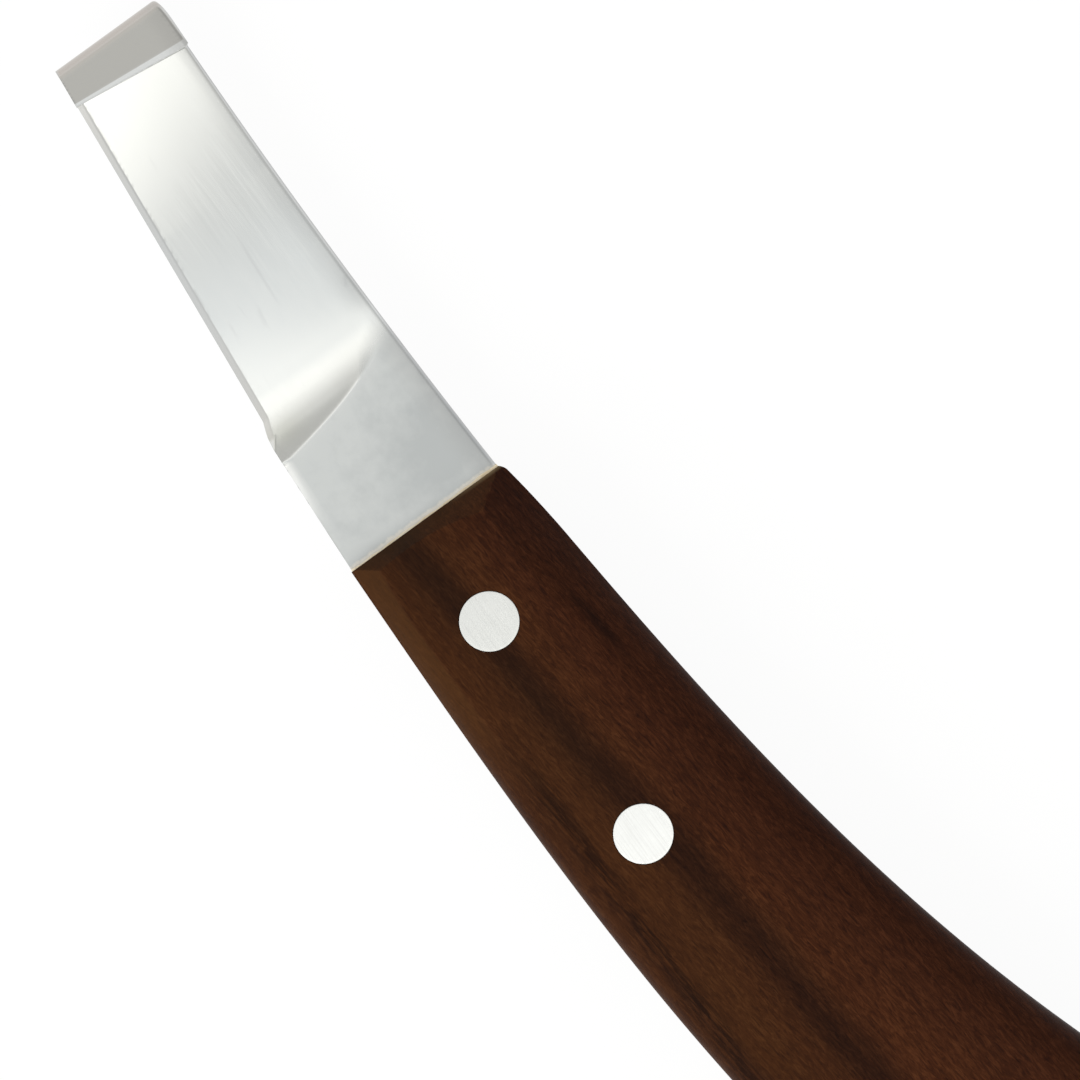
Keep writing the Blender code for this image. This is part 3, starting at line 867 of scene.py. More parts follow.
def handle_sides(back):
    """Y of the handle's cutting side and spine side. The butt narrows as a superellipse about its middle."""
    rounds = (FRONT_CORNER, FRONT_EASING)
    corner = sum(size * np.maximum(0, 1 - back / length) ** 2 for size, length in rounds)
    cut_side = CUT_SIDE_FRONT + spread(back, CUT_SIDE_TAPER, CUT_SIDE_SWEEP)
    spine = -(SPINE_SIDE_FRONT - corner + spread(back, SPINE_SIDE_TAPER, SPINE_SIDE_SWEEP))
    into_butt = np.clip((back - HANDLE_LENGTH) / BUTT_ROUND_LENGTH + 1, 0, 1)
    narrowing = (1 - into_butt**BUTT_FULLNESS) ** (1 / BUTT_FULLNESS)
    middle = (cut_side + spine) / 2
    return lerp(middle, cut_side, narrowing), lerp(middle, spine, narrowing)


def handle_columns(kerf_end):
    """Distances behind the front: close together at the front, even to the butt, and round it by angle."""
    share = np.linspace(0, 1, KERF_ROWS + 1)
    front = kerf_end * ((1 - FRONT_CROWDING) * share + FRONT_CROWDING * share**2)
    butt_start = HANDLE_LENGTH - BUTT_ROUND_LENGTH
    sides = np.linspace(kerf_end, butt_start, SIDE_ROWS + 1)[1:]
    turn = np.linspace(0, math.pi / 2, BUTT_ROWS + 1)[1:]
    butt = butt_start + BUTT_ROUND_LENGTH * np.sin(turn) ** (2 / BUTT_FULLNESS)
    return np.concatenate((front, sides, butt))


def side_skin(side):
    """The handle's upper half on one narrow side, from the kerf line up to the cheek, as (points, marks).

    Each column rises straight and then turns in to the cheek. The turn is a mix of a flat chamfer and a
    quarter of an ellipse. Where the bevelled front cuts it, the columns start at the bevel, so one column
    lies on the bevel's lower line.
    """
    number = SIDES.index(side)
    outward = OUTWARD[number]
    kerf_end = sawn_back(KERF_LENGTH, handle_sides(np.array(KERF_LENGTH))[number])
    back = handle_columns(kerf_end)[:, None]
    bevel = FRONT_BEVELS[side]
    into_butt = smooth_step(back, HANDLE_LENGTH - 2 * BUTT_ROUND_LENGTH, HANDLE_LENGTH)
    bevel_step = WALL_STEPS + BELOW_BEVEL_STEPS
    steps = np.arange(bevel_step + ABOVE_BEVEL_STEPS + 1)[None]
    bevel_share = lerp(1 - bevel / EDGE_DROPS[side][0], BUTT_BEVEL_SHARE, into_butt)
    below_bevel = bevel_share * np.clip((steps - WALL_STEPS) / BELOW_BEVEL_STEPS, 0, 1)
    above_bevel = (1 - bevel_share) * np.clip((steps - bevel_step) / ABOVE_BEVEL_STEPS, 0, 1)
    share = below_bevel + above_bevel
    up_wall = np.minimum(steps / WALL_STEPS, 1)
    flat = np.interp(back, EDGE_LINES, EDGE_FLATNESS)
    reach_in = lerp(np.interp(back, EDGE_LINES, EDGE_INSETS[side]), BUTT_EDGE_ROUND, into_butt)
    reach_down = lerp(np.interp(back, EDGE_LINES, EDGE_DROPS[side]), BUTT_EDGE_ROUND, into_butt)
    turn = share * math.pi / 2
    inset = reach_in * lerp(1 - np.cos(turn), share, flat)
    rise = reach_down * lerp(np.sin(turn), share, flat)
    height = lerp(KERF_HALF, MID_Z - reach_down, up_wall) + rise
    start = np.maximum(height[:1] - (MID_Z - bevel), 0)
    back = np.where(back < FRONT_SETTLE, lerp(start, FRONT_SETTLE, back / FRONT_SETTLE), back)
    y = handle_sides(back)[number]
    x = FRONT_X - back
    along_x, along_y = np.gradient(x, axis=0), np.gradient(y, axis=0)
    length = np.hypot(along_x, along_y)
    square = smooth_step(back, SQUARE_STRETCH, TURNED_STRETCH)
    inward_x = np.abs(along_y / length) * np.sign(-along_y * outward) * square
    inward_y = -outward * np.where(square > 0, lerp(1, np.abs(along_x / length), square), 1)
    inward_x[-1] = 1.0
    inward_y[-1] = 0.0
    behind_wear = smooth_step(back, *WEAR_FADE)
    # Worn wood and painted light on the lit chamfer at the front of the cutting side
    wear_and_light = WEAR_AND_LIGHT_STRENGTHS[side] * smooth_step(share, 0, WEAR_GROWS) * smooth_step(share, 1, WEAR_ENDS)
    # Painted shade on the spine side, deepest low on its wall
    if side == "spine":
        dark = lerp(1.0, DARK_AT_CHEEK, share**DARK_FALL)
    else:
        dark = DARK_AT_CUT_SIDE * smooth_step(share, 1.0, DARK_CUT_EDGE) * behind_wear
    points = points_of(x + inward_x * inset, y + inward_y * inset, height)
    return points, dict(wear_and_painted_light=wear_and_light * (1 - behind_wear), dark_side=dark)


def build_handle(wood):
    """Two mirrored halves with the kerf open between them at the front, one wall behind it, rivet holes."""
    skin = Skin("wear_and_painted_light", "end_grain", "dark_side")
    cut_skin, cut_marks = side_skin("cut")
    spine_skin, spine_marks = side_skin("spine")
    front = across(cut_skin[0], spine_skin[0], CHEEK_COLUMNS)
    cheek = across(cut_skin[:, -1], spine_skin[:, -1], CHEEK_COLUMNS)
    to_spine = np.linspace(0, 1, CHEEK_COLUMNS + 1)[None]
    # Painted shade on the cheek towards the spine side
    cheek_dark = DARK_AT_CHEEK * smooth_step(to_spine, DARK_START, 1.0)
    hollow = FRONT_BEVEL_HOLLOW * np.sin(math.pi * to_spine)
    above_bevel = np.arange(len(front)) - WALL_STEPS - BELOW_BEVEL_STEPS
    up_bevel = np.clip(above_bevel / ABOVE_BEVEL_STEPS, 0, 1)[:, None]
    # End grain and painted shade on the front, strongest low down
    end_share = lerp(1.0, END_FADE, up_bevel)
    to_settle = np.clip((cheek[:, :, 0] - FRONT_X + FRONT_SETTLE) / FRONT_SETTLE, 0, 1)
    front[:, :, 0] += hollow * up_bevel
    cheek[:, :, 0] += hollow * (to_settle / to_settle[:1]) ** 2
    kerf = across(cut_skin[: KERF_ROWS + 1, 0], spine_skin[: KERF_ROWS + 1, 0], CHEEK_COLUMNS)
    bow = FRONT_X - sawn_back(KERF_LENGTH, kerf[-1, :, 1]) - kerf[-1, :, 0]
    bow = bow - np.linspace(bow[0], bow[-1], bow.size)
    kerf[:, :, 0] += bow[None] * (np.linspace(0, 1, KERF_ROWS + 1) ** 2)[:, None]
    lift = np.array((0, 0, MID_Z))
    flips = [np.array((1, 1, half)) for half in (1, -1)]
    for flip in flips:
        cheek_holes = []
        kerf_holes = []
        for centre_x in RIVET_X.values():
            first, last = rows_round(cheek, centre_x, RIVET_MARGIN)
            rim = border_of(cheek, first, last)
            wide = circle_towards(rim, centre_x, RIVET_RADIUS + RIVET_FIT, MID_Z)
            narrow = circle_towards(rim, centre_x, SLEEVE_RADIUS + RIVET_FIT, MID_Z - RIVET_HEAD_THICKNESS)
            seat = wide - (0, 0, RIVET_HEAD_THICKNESS)
            foot = narrow * (1, 1, 0) + (0, 0, KERF_HALF)
            cheek_holes.append((first, last, wide * flip + lift))
            kerf_holes.append((first, last, foot * flip + lift))
            skin.add(np.stack((wide, seat, narrow, foot)) * flip + lift, closed=True)
        skin.add(cut_skin * flip + lift, **cut_marks)
        skin.add(spine_skin * flip + lift, **spine_marks)
        skin.add(front * flip + lift, end_grain=end_share)
        add_holed_sheet(skin, cheek * flip + lift, cheek_holes, dark_side=cheek_dark)
        add_holed_sheet(skin, kerf * flip + lift, kerf_holes)
    for line in (cut_skin[KERF_ROWS:, 0], spine_skin[KERF_ROWS:, 0], kerf[-1]):
        upper, lower = (line * flip + lift for flip in flips)
        skin.add(across(upper, lower, BACK_WALL_COLUMNS))
    return skin.piece("handle_oiled_wood", wood)


# Rivets


def build_rivet(place, metal):
    """A post and a sleeve, each turned: a faintly crowned head with an eased rim, and a shank.

    The crown falls by the square of the radius, and the rim is a quarter of a circle.
    """
    rim = RIVET_RADIUS - RIVET_RIM
    crown = np.linspace(0, 1, CROWN_STEPS + 1)[:-1]
    ease = np.linspace(math.pi / 2, 0, RIM_STEPS + 1)
    radius = np.concatenate((rim * crown, rim + RIVET_RIM * np.cos(ease)))
    height = np.concatenate((-RIVET_CROWN * crown**2, RIVET_RIM * (np.sin(ease) - 1) - RIVET_CROWN))
    head = np.stack((radius, height), axis=-1)
    head_low = RIVET_HEAD_THICKNESS - RIVET_FIT
    head_high = HANDLE_THICKNESS - head_low
    pin = SLEEVE_BORE_RADIUS - RIVET_FIT
    foot = head_low + RIVET_FIT
    top = head_high - RIVET_FIT
    post = ((RIVET_RADIUS, head_high), (pin, head_high), (pin, foot), (0, foot))
    sleeve = (
        (RIVET_RADIUS, head_low),
        (SLEEVE_RADIUS, head_low),
        (SLEEVE_RADIUS, top),
        (SLEEVE_BORE_RADIUS, top),
        (SLEEVE_BORE_RADIUS, head_low),
        (0, head_low),
    )
    profiles = {
        "post": np.concatenate((head + (0, HANDLE_THICKNESS), post)),
        "sleeve": np.concatenate((head * (1, -1), sleeve)),
    }
    pieces = []
    for half, profile in profiles.items():
        skin = Skin()
        turned(skin, profile, RIVET_X[place])
        pieces.append((skin.piece(f"{place}_rivet_{half}_bright", metal), f"{place}_rivet_{half}"))
    return pieces


# Glue


def build_glue_line(glue):
    """The thin line of glue squeezed out where the steel enters the wood: a low bead round the steel.

    The bead's size wavers by a few sines of the way round, and swells at the spine, as wiped glue does.
    """
    cut_side, spine = (float(value) for value in blade_sides(np.array(0.0)))
    half = PLATE_THICKNESS / 2
    corners_y = np.array((cut_side, cut_side, spine, spine, cut_side))
    corners_z = np.array((-half, half, half, -half, -half))
    lengths = np.concatenate(([0], np.cumsum(np.hypot(np.diff(corners_y), np.diff(corners_z)))))
    way = np.linspace(0, lengths[-1], GLUE_STEPS, endpoint=False)
    y = np.interp(way, lengths, corners_y)[:, None]
    z = np.interp(way, lengths, corners_z)[:, None]
    slow, slower, quick = (np.sin(way * rate + shift)[:, None] for rate, shift in GLUE_WAVES)
    waver = GLUE_MEAN + GLUE_LUMPS * slow * slower + GLUE_RIPPLE * quick
    size = GLUE_BEAD * (waver + GLUE_SWELL * smooth_step(-y, GLUE_SWELL_START, SPINE_WAIST))
    turn = np.linspace(0, math.tau, GLUE_SIDES + 1)[None, :-1]
    forward = FRONT_X + GLUE_FORWARD * size + size * np.cos(turn)
    outward_y = y + np.sign(y) * GLUE_ASIDE * size * np.sin(turn)
    outward_z = z + np.sign(z) * GLUE_UP * size * np.sin(turn)
    bead = points_of(forward, outward_y, MID_Z + outward_z)
    skin = Skin()
    skin.add(np.concatenate((bead, bead[:1])), closed=True)
    return skin.piece("glue_line_at_joint", glue)


def build_kerf_glue(side, glue):
    """Glue and dust filling the open edge of the kerf on one narrow side, a little below the wood.

    Rows run back from the handle's front, or from the tang's end on the cutting side, where the steel is
    nearly flush. A row is a closed loop of four points: the outer face and the inner face, which lies
    inside the steel and, behind the tang, deeper in.
    """
    number = SIDES.index(side)
    outward = OUTWARD[number]
    tang_end = sawn_back(TANG_LENGTH, blade_sides(np.array(-TANG_LENGTH))[number])
    kerf_end = sawn_back(KERF_LENGTH, handle_sides(np.array(KERF_LENGTH))[number])
    start = (tang_end - KERF_GLUE_OVERLAP, KERF_GLUE_BEHIND_FRONT)[number]
    beside_tang = np.linspace(start, tang_end, KERF_GLUE_STEPS)
    behind_tang = np.linspace(tang_end, kerf_end, KERF_GLUE_END_STEPS)
    back = np.concatenate((beside_tang, behind_tang))
    outer = handle_sides(back)[number] - outward * KERF_GLUE_SINK
    inner = blade_sides(-np.minimum(back, TANG_LENGTH))[number] - outward * SPINE_NOSE_AT_TANG
    inner[KERF_GLUE_STEPS:] -= outward * KERF_GLUE_DEPTH
    half = KERF_HALF - KERF_GLUE_FIT
    y = np.stack((outer, outer, inner, inner), axis=1)
    z = MID_Z + np.array((-half, half, half, -half))
    loops = points_of(FRONT_X - back[:, None], y, z)
    middles = np.broadcast_to(loops.mean(axis=1, keepdims=True), loops.shape)
    skin = Skin()
    skin.add(np.concatenate((middles[:1], loops, middles[-1:])), closed=True)
    return skin.piece(f"glue_in_kerf_{side}_side", glue)


# Materials


def set_inputs(tree, made, inputs):
    """A node's inputs set to values, or linked to other nodes' outputs."""
    for name, value in inputs.items():
        if isinstance(value, bpy.types.NodeSocket):
            tree.links.new(value, made.inputs[name])
        else:
            made.inputs[name].default_value = value


def node(tree, kind, inputs=None, **settings):
    """A shader node with its settings and inputs."""
    made = tree.nodes.new(kind)
    for name, value in settings.items():
        setattr(made, name, value)
    set_inputs(tree, made, inputs or {})
    return made


def calculate(tree, operation, first, second=0.0, third=0.0):
    """One sum on numbers or outputs."""
    return node(tree, "ShaderNodeMath", {0: first, 1: second, 2: third}, operation=operation).outputs[0]


def times(tree, first, second):
    """Two masks, or a mask and a number, multiplied."""
    return calculate(tree, "MULTIPLY", first, second)


def vector_sum(tree, operation, first, second):
    """One sum on vectors. A dot product gives a number."""
    made = node(tree, "ShaderNodeVectorMath", {0: first, 1: second}, operation=operation)
    return made.outputs["Value" if operation == "DOT_PRODUCT" else "Vector"]


def scaled(tree, vector, scale):
    """A vector or a colour times a number."""
    made = node(tree, "ShaderNodeVectorMath", {0: vector, "Scale": scale}, operation="SCALE")
    return made.outputs["Vector"]


def parts_of(tree, vector):
    """A vector's X, Y and Z."""
    return node(tree, "ShaderNodeSeparateXYZ", {"Vector": vector}).outputs


def remap(tree, value, low, high, to_low=0.0, to_high=1.0):
    """A value moved from one range to another, held inside it."""
    inputs = {"Value": value, "From Min": low, "From Max": high, "To Min": to_low, "To Max": to_high}
    return node(tree, "ShaderNodeMapRange", inputs).outputs["Result"]


def band(tree, value, centre, width):
    """1 at a place along a value, fading to both sides as a bell curve."""
    off = calculate(tree, "DIVIDE", calculate(tree, "SUBTRACT", value, centre), width)
    return calculate(tree, "EXPONENT", times(tree, times(tree, off, off), -1.0))


def spot(tree, own, centre, size):
    """1 at a place on a piece, fading all round: a band along X times a band along Y."""
    return times(tree, band(tree, own["X"], centre[0], size[0]), band(tree, own["Y"], centre[1], size[1]))


def mixed(tree, mask, first, second, blend="MIX"):
    """Two colours mixed."""
    made = node(tree, "ShaderNodeMix", {0: mask, 6: first, 7: second}, data_type="RGBA", blend_type=blend)
    return made.outputs[2]


def layered(tree, colour, layers):
    """A colour with others laid over it in turn, each as its mask, its colour and how it blends."""
    for mask, coat, blend in layers:
        colour = mixed(tree, mask, colour, coat, blend)
    return colour


def stretched(tree, position, sizes):
    """A position divided by a size along each axis, so that noise on it has features of those sizes."""
    return vector_sum(tree, "MULTIPLY", position, tuple(1 / size for size in sizes))


def noise(tree, position, detail, roughness, distortion=0.0):
    """Soft noise on a stretched position."""
    kind = {"Detail": detail, "Roughness": roughness, "Distortion": distortion}
    return node(tree, "ShaderNodeTexNoise", {"Vector": position, "Scale": 1.0, **kind}).outputs["Fac"]


def about_middle(tree, value, strength, base):
    """A base raised or lowered by how far noise is from its middle."""
    return calculate(tree, "MULTIPLY_ADD", calculate(tree, "SUBTRACT", value, NOISE_MIDDLE), strength, base)


def bumped(tree, height, distance):
    """A normal tilted by the slope of a height, which is counted in distances."""
    inputs = {"Height": height, "Distance": distance, "Strength": 1.0}
    return node(tree, "ShaderNodeBump", inputs).outputs["Normal"]


def grey(level):
    """A neutral colour."""
    return (level, level, level, 1)


def new_group(name, sizes, masks):
    """An empty group from a position and sizes to masks, as its tree, its inputs and its output node."""
    tree = bpy.data.node_groups.new(name, "ShaderNodeTree")
    tree.interface.new_socket("Position", in_out="INPUT", socket_type="NodeSocketVector")
    for label in sizes:
        tree.interface.new_socket(label, in_out="INPUT", socket_type="NodeSocketFloat")
    for label in masks:
        tree.interface.new_socket(label, in_out="OUTPUT", socket_type="NodeSocketFloat")
    return tree, tree.nodes.new("NodeGroupInput").outputs, tree.nodes.new("NodeGroupOutput")


def use_group(tree, group, position, **sizes):
    """A group placed in a material, as its outputs."""
    return node(tree, "ShaderNodeGroup", {"Position": position, **sizes}, node_tree=group).outputs


def scratch_group():
    """Straight scratches along X: fine even lines, and a few deep ones, each from noise drawn out along X."""
    tree, given, out = new_group("straight_scratches", ("Length", "Width"), ("Fine", "Deep"))
    length, width = given["Length"], given["Width"]
    sizes = node(tree, "ShaderNodeCombineXYZ", {"X": length, "Y": width, "Z": width}).outputs["Vector"]
    drawn = vector_sum(tree, "DIVIDE", given["Position"], sizes)
    elsewhere = {"Vector": drawn, "Location": DEEP_SHIFT, "Scale": DEEP_STRETCH}
    sparse = node(tree, "ShaderNodeMapping", elsewhere).outputs["Vector"]
    deep = remap(tree, noise(tree, sparse, *DEEP_KIND), *DEEP_RANGE)
    set_inputs(tree, out, {"Fine": noise(tree, drawn, *FINE_KIND), "Deep": deep})
    return tree


def mottle_group():
    """Cloudy patches: noise with features of one size, spread to the full range."""
    tree, given, out = new_group("cloudy_patches", ("Size",), ("Patches",))
    share = calculate(tree, "DIVIDE", 1.0, given["Size"])
    cloud = noise(tree, scaled(tree, given["Position"], share), *PATCH_KIND)
    set_inputs(tree, out, {"Patches": remap(tree, cloud, *PATCH_RANGE)})
    return tree


def new_material(name):
    """A material with its Principled shader and the piece's own coordinates."""
    made = bpy.data.materials.new(name)
    made.use_nodes = True
    tree = made.node_tree
    return made, tree, tree.nodes["Principled BSDF"], node(tree, "ShaderNodeTexCoord").outputs["Object"]


def mark_of(tree, name):
    """A mask kept at the piece's points."""
    return node(tree, "ShaderNodeAttribute", attribute_name=name).outputs["Fac"]


def single_scratch(tree, position, start, end, width):
    """1 along one straight scratch between two places, fading across its width and at its ends."""
    start, end = Vector((*start, 0)), Vector((*end, 0))
    length = (end - start).length
    way = (end - start).normalized()
    from_start = vector_sum(tree, "SUBTRACT", position, start)
    along = vector_sum(tree, "DOT_PRODUCT", from_start, way)
    aside = vector_sum(tree, "DOT_PRODUCT", from_start, Vector((-way.y, way.x, 0)))
    fade_in = remap(tree, along, 0, SCRATCH_ENDS[0] * length)
    fade_out = remap(tree, along, length, SCRATCH_ENDS[1] * length)
    return times(tree, band(tree, aside, 0.0, width), calculate(tree, "MINIMUM", fade_in, fade_out))


def plate_colour(tree, position, own, cloud):
    """The tang: cloudy, lighter by the edge and the blade, painted light by the handle against its shade,
    painted shade by the spine, one darker spot and a film of glue.
    """
    tone = calculate(tree, "MULTIPLY_ADD", cloud, TANG_CLOUD, remap(tree, own["Y"], *TANG_ACROSS))
    tone = calculate(tree, "MULTIPLY_ADD", spot(tree, own, *TANG_DARKER_SPOT), TANG_DARKENING, tone)
    # Lighter towards the blade, and painted light by the handle that offsets the shade there
    for along in (TANG_ALONG, TANG_PAINTED_LIGHT_BY_HANDLE):
        tone = calculate(tree, "ADD", tone, remap(tree, own["X"], *along))
    wiped = noise(tree, stretched(tree, position, FILM_SIZES), *FILM_KIND)
    wiped = calculate(tree, "MULTIPLY_ADD", wiped, FILM_WAVER, own["X"])
    film = times(tree, remap(tree, wiped, *FILM_RANGE), remap(tree, own["X"], *FILM_STARTS))
    layers = (
        # Painted shade along the tang's spine
        (band(tree, own["Y"], *TANG_SPINE_SHADE_BAND), TANG_SPINE_SHADE, "MULTIPLY"),
        (film, GLUE_FILM_COLOUR, "MIX"),
    )
    return layered(tree, mixed(tree, tone, TANG_DARK, TANG_LIGHT), layers)


def face_colour(tree, own, fine, broad):
    """The ground face: fine streaks, faint broad clouds and one smudge by the spine."""
    streaked = calculate(tree, "MULTIPLY_ADD", fine, *FACE_STREAKS)
    layers = (
        (times(tree, broad, FACE_CLOUD), FACE_DARK, "MIX"),
        (spot(tree, own, *SMUDGE_SPOT), SMUDGE, "MULTIPLY"),
    )
    return layered(tree, mixed(tree, streaked, FACE_DARK, FACE_LIGHT), layers)


def steel_material(scratches, patches):
    """Satin plate on the tang, finer ground steel on the blade, painted shade along the spine, painted
    highlights on the tang, tinted on the bend.
    """
    made, tree, shader, position = new_material("ground_steel")
    own = parts_of(tree, position)
    ground = mark_of(tree, "ground")
    streaks = use_group(tree, scratches, position, **STEEL_STREAKS)
    hairs = use_group(tree, scratches, position, **STEEL_HAIRS)
    cloud = use_group(tree, patches, position, Size=STEEL_CLOUD)["Patches"]
    broad = use_group(tree, patches, position, Size=STEEL_BROAD_CLOUD)["Patches"]
    layers = [(times(tree, streaks["Deep"], DEEP_STRENGTH), SCRATCH_COLOUR, "MIX")]
    for start, end, width, strength in SCRATCHES:
        scratch = single_scratch(tree, position, start, end, width)
        layers.append((times(tree, scratch, strength), SCRATCH_COLOUR, "MIX"))
    layers += [
        # The honed mark: honed steel on the edge and the lip, and painted highlight on the tang behind the
        # crest and on its eased edge
        (times(tree, mark_of(tree, "honed"), HONED_AND_HIGHLIGHT_STRENGTH), HONED_AND_HIGHLIGHT_COLOUR, "MIX"),
        # Painted shade on the ground face by the heel
        (times(tree, spot(tree, own, *HEEL_SHADE_SPOT), ground), HEEL_PAINTED_SHADE, "MULTIPLY"),
        (mark_of(tree, "bend"), BEND_COLOUR, "MIX"),
        # Painted shade from the spine mark
        (mark_of(tree, "spine"), PAINTED_SHADE_COLOUR, "MIX"),
    ]
    plate = plate_colour(tree, position, own, cloud)
    bare = mixed(tree, ground, plate, face_colour(tree, own, streaks["Fine"], broad))
    both = {2: remap(tree, cloud, *PLATE_ROUGHNESS), 3: remap(tree, streaks["Fine"], *FACE_ROUGHNESS)}
    rough = node(tree, "ShaderNodeMix", {0: ground, **both}, data_type="FLOAT").outputs[0]
    height = streaks["Fine"]
    for mask, share in ((hairs["Fine"], HAIR_HEIGHT), (streaks["Deep"], DEEP_HEIGHT), (cloud, CLOUD_HEIGHT)):
        height = calculate(tree, "MULTIPLY_ADD", mask, share, height)
    set_inputs(tree, shader, {
        "Base Color": layered(tree, bare, layers),
        "Roughness": rough,
        "Metallic": 1.0,
        "Normal": bumped(tree, height, STEEL_BUMP),
    })
    return made


def rivet_material(scratches, patches):
    """Bright soft metal sanded flush, with straight scratches. The rear rivet is painted brighter, a painted
    reflection.
    """
    made, tree, shader, position = new_material("bright_rivet_metal")
    streaks = use_group(tree, scratches, position, **RIVET_STREAKS)
    cloud = use_group(tree, patches, position, Size=RIVET_CLOUD)["Patches"]
    # Painted highlight: brighter towards the rear rivet, in clouds
    lightened = remap(tree, parts_of(tree, position)["X"], *RIVET_HIGHLIGHT_ALONG)
    lightened = calculate(tree, "MULTIPLY_ADD", cloud, RIVET_HIGHLIGHT_CLOUD, lightened)
    colour = mixed(tree, lightened, RIVET_BASE, RIVET_PAINTED_HIGHLIGHT)
    height = calculate(tree, "SUBTRACT", streaks["Fine"], streaks["Deep"])
    set_inputs(tree, shader, {
        "Base Color": mixed(tree, remap(tree, streaks["Fine"], *RIVET_SCRATCHED), colour, SCRATCH_COLOUR),
        "Roughness": remap(tree, streaks["Fine"], *RIVET_ROUGHNESS),
        "Metallic": 1.0,
        "Normal": bumped(tree, height, RIVET_BUMP),
    })
    return made


def wood_material():
    """Dark close-grained wood: ripple, fibres, a dark heart streak and broken dark lines by one side."""
    made, tree, shader, position = new_material("dark_oiled_wood")
    own = parts_of(tree, position)
    turn = {"Vector": position, "Rotation": (0, 0, -GRAIN_ANGLE)}
    grain = node(tree, "ShaderNodeMapping", turn).outputs["Vector"]
    figure = {}
    for name, (sizes, *kind) in WOOD_FIGURE.items():
        figure[name] = noise(tree, stretched(tree, grain, sizes), *kind)
    wander = calculate(tree, "MULTIPLY_ADD", figure["wander"], WANDER_REACH, -WANDER_REACH / 2)
    sideways = calculate(tree, "ADD", parts_of(tree, grain)["Y"], wander)

    tone = about_middle(tree, figure["ripple"], RIPPLE_STRENGTH, 0.0)
    tone = about_middle(tree, figure["fibre"], FIBRE_STRENGTH, tone)
    tone = calculate(tree, "MULTIPLY_ADD", tone, remap(tree, own["Y"], *FIGURE_ACROSS), MIDDLE_TONE)
    tone = about_middle(tree, figure["broad"], BROAD_STRENGTH, tone)
    colour = mixed(tree, remap(tree, tone, 0.0, MIDDLE_TONE), WOOD_DEEP, WOOD_MIDDLE)
    colour = mixed(tree, remap(tree, tone, MIDDLE_TONE, 1.0), colour, WOOD_LIGHT)

    red_side = calculate(tree, "MULTIPLY_ADD", figure["broad"], RED_WAVER, own["Y"])
    heart = times(tree, band(tree, sideways, *HEART_BAND), remap(tree, figure["heart_gaps"], *HEART_RANGE))
    lines = times(tree, band(tree, own["Y"], *LINE_BAND), remap(tree, figure["line_gaps"], *LINE_RANGE))
    smear = times(tree, band(tree, own["X"], *SMEAR_ALONG), band(tree, sideways, *SMEAR_BAND))
    pores = remap(tree, figure["pores"], *PORE_RANGE)
    lightened = times(tree, remap(tree, own["X"], *RUBBED_ALONG), remap(tree, own["Y"], *RUBBED_ACROSS))
    layers = (
        (remap(tree, red_side, *RED_RANGE), WOOD_RED, "MULTIPLY"),
        (times(tree, heart, HEART_STRENGTH), WOOD_HEART, "MULTIPLY"),
        (times(tree, lines, remap(tree, own["X"], *LINE_ALONG)), WOOD_HEART, "MULTIPLY"),
        (smear, WOOD_HEART, "MULTIPLY"),
        (remap(tree, own["X"], *WOOD_FRONT_RANGE), WOOD_FRONT, "MULTIPLY"),
        # Painted shade on the spine side, and darker on the cutting side behind the front
        (mark_of(tree, "dark_side"), WOOD_DARK_SIDE, "MULTIPLY"),
        (times(tree, pores, PORE_STRENGTH), WOOD_PORE, "MIX"),
        # Worn wood, lighter also as painted light on the lit chamfer
        (times(tree, mark_of(tree, "wear_and_painted_light"), WEAR_AND_LIGHT_STRENGTH), WOOD_WORN_AND_LIT, "MIX"),
        # End grain on the front, darker also as painted shade
        (times(tree, mark_of(tree, "end_grain"), END_GRAIN_AND_SHADE_STRENGTH), WOOD_END_GRAIN_AND_SHADE, "MIX"),
        (lightened, WOOD_RUBBED, "MIX"),
    )
    height = calculate(tree, "SUBTRACT", times(tree, figure["ripple"], RIPPLE_HEIGHT), pores)
    set_inputs(tree, shader, {
        "Base Color": layered(tree, colour, layers),
        "Roughness": remap(tree, figure["fibre"], *WOOD_ROUGHNESS),
        "Specular IOR Level": WOOD_SPECULAR,
        "Normal": bumped(tree, height, WOOD_BUMP),
    })
    return made


def glue_material(patches, name, pale, dark):
    """Dried glue in two tones, darker where wood dust is caught in it."""
    made, tree, shader, position = new_material(name)
    cloud = use_group(tree, patches, position, Size=GLUE_CLOUD)["Patches"]
    set_inputs(tree, shader, {
        "Base Color": mixed(tree, cloud, dark, pale),
        "Roughness": remap(tree, cloud, *GLUE_ROUGHNESS),
        "Specular IOR Level": GLUE_SPECULAR,
    })
    return made


# Studio


def build_camera():
    """A long lens straight above the front cheek, turned so that the knife points up and to the left."""
    data = bpy.data.cameras.new("camera")
    data.sensor_width = SENSOR_WIDTH
    data.lens = SENSOR_WIDTH * (CAMERA_HEIGHT - FOCUS_HEIGHT) / FRAME_WIDTH
    data.clip_start, data.clip_end = CAMERA_CLIP
    camera = bpy.data.objects.new("camera", data)
    camera.location = (*FRAME_CENTRE, CAMERA_HEIGHT)
    camera.rotation_euler = (0, 0, math.atan2(-IMAGE_UP[0], IMAGE_UP[1]))
    bpy.context.scene.collection.objects.link(camera)
    bpy.context.scene.camera = camera


def level_ramp(tree, value, stops):
    """Light levels at places from -1 to 1, joined by a smooth curve."""
    ramp = node(tree, "ShaderNodeValToRGB", {"Fac": remap(tree, value, -1.0, 1.0)})
    ramp.color_ramp.interpolation = "CARDINAL"
    elements = ramp.color_ramp.elements
    for number, (place, level) in enumerate(stops):
        element = elements[number] if number < 2 else elements.new((place + 1) / 2)
        element.position = (place + 1) / 2
        element.color = grey(level / RAMP_TOP)
    return scaled(tree, ramp.outputs["Color"], RAMP_TOP)


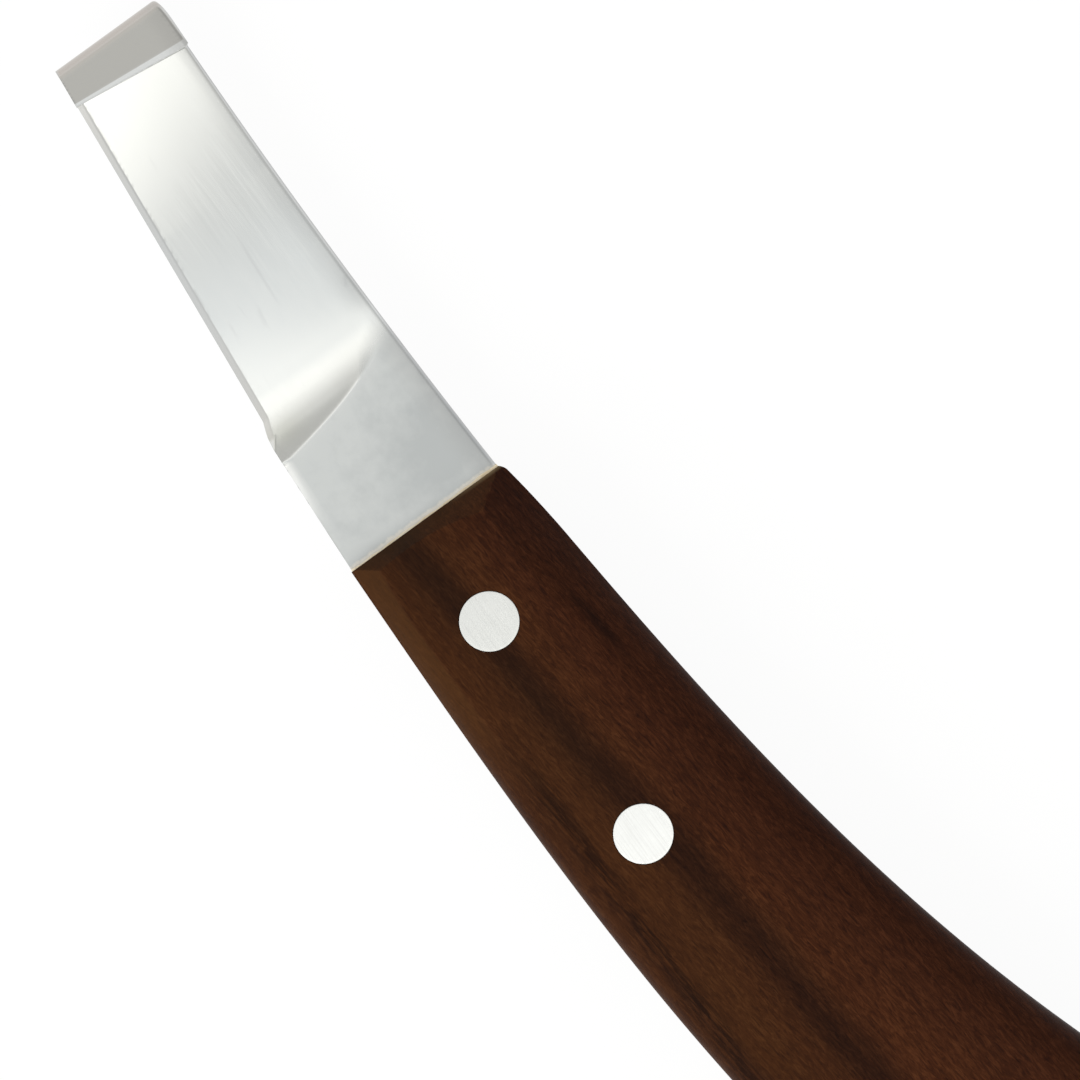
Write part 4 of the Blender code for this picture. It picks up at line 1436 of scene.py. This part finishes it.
def build_world():
    """A soft white room: two bright strips beside a greyer middle overhead, plain walls, a pale horizon.

    A direction's light is its level along the knife times its level across it. The strips give way to
    plain walls far to each side, and the light is a little cooler between the strips.
    """
    world = bpy.data.worlds.new("studio")
    bpy.context.scene.world = world
    world.use_nodes = True
    tree = world.node_tree
    tree.nodes.clear()
    direction = node(tree, "ShaderNodeTexCoord").outputs["Generated"]
    parts = parts_of(tree, direction)
    lengthwise = level_ramp(tree, parts["X"], STRIP_LEVELS)
    aside = calculate(tree, "ABSOLUTE", parts["Y"])
    lengthwise = mixed(tree, remap(tree, aside, *WALL_RANGE), lengthwise, grey(WALL_LEVEL))
    sideways = level_ramp(tree, parts["Y"], SIDE_LEVELS)
    room = mixed(tree, 1.0, lengthwise, sideways, "MULTIPLY")
    off_middle = calculate(tree, "ABSOLUTE", calculate(tree, "SUBTRACT", parts["X"], COOL_PLACE))
    tint = mixed(tree, remap(tree, off_middle, *COOL_TO_WARM), COOL_LIGHT, WARM_LIGHT)
    room = mixed(tree, 1.0, room, tint, "MULTIPLY")
    room = mixed(tree, remap(tree, parts["Z"], *HORIZON_RANGE), room, grey(1.0))
    background = node(tree, "ShaderNodeBackground", {"Color": room, "Strength": 1.0})
    node(tree, "ShaderNodeOutputWorld", {"Surface": background.outputs["Background"]})


def build_floor():
    """A pale floor. The camera and shiny surfaces see it as a white sheet with a faint shadow on it."""
    finish, tree, shader, _ = new_material("pale_floor")
    set_inputs(tree, shader, {"Base Color": grey(FLOOR_LEVEL), "Roughness": FLOOR_ROUGHNESS})
    white = node(tree, "ShaderNodeEmission", {"Color": grey(1.0), "Strength": 1.0}).outputs[0]
    path = node(tree, "ShaderNodeLightPath").outputs
    seen = calculate(tree, "MAXIMUM", path["Is Camera Ray"], path["Is Glossy Ray"])
    seen = calculate(tree, "MAXIMUM", seen, path["Is Transmission Ray"])
    share = times(tree, seen, FLOOR_WHITENESS)
    both = node(tree, "ShaderNodeMixShader", {0: share, 1: shader.outputs[0], 2: white}).outputs[0]
    tree.links.new(both, tree.nodes["Material Output"].inputs["Surface"])
    skin = Skin()
    reach = np.array((-FLOOR_REACH, 0, FLOOR_REACH))
    skin.add(points_of(reach[:, None], reach[None], -FLOOR_DROP))
    skin.piece("floor", finish)


def build_key_lamp():
    """One large soft lamp on the cutting-edge side."""
    data = bpy.data.lights.new("key_lamp", "AREA")
    data.shape = "SQUARE"
    data.size = KEY_SIZE
    data.energy = KEY_POWER
    lamp = bpy.data.objects.new("key_lamp", data)
    lamp.location = KEY_PLACE
    towards = Vector(KEY_AIM) - lamp.location
    lamp.rotation_euler = towards.to_track_quat("-Z", "Y").to_euler()
    lamp.visible_camera = False
    lamp.visible_glossy = False
    bpy.context.scene.collection.objects.link(lamp)


# Putting the knife together


def place(piece, node_name, slot):
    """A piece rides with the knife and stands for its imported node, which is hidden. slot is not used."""
    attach(piece, "root")
    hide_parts(node_name)


def main():
    """Every piece with its finish, then the floor, the light and the camera."""
    scratches = scratch_group()
    patches = mottle_group()
    steel = steel_material(scratches, patches)
    wood = wood_material()
    bright = rivet_material(scratches, patches)
    place(build_blade(steel), "blade", "blade_steel")
    place(build_handle(wood), "handle", "handle_wood")
    for rivet in RIVET_PLACES:
        for piece, node_name in build_rivet(rivet, bright):
            place(piece, node_name, "rivet_metal")
    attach(build_glue_line(glue_material(patches, "dried_glue", GLUE_CREAM, GLUE_BROWN)), "root")
    kerf_glue = glue_material(patches, "glue_and_dust", KERF_GLUE_PALE, KERF_GLUE_DARK)
    for side in SIDES:
        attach(build_kerf_glue(side, kerf_glue), "root")
    build_floor()
    build_world()
    build_key_lamp()
    build_camera()
    bpy.context.scene.view_settings.view_transform = "Standard"


main()
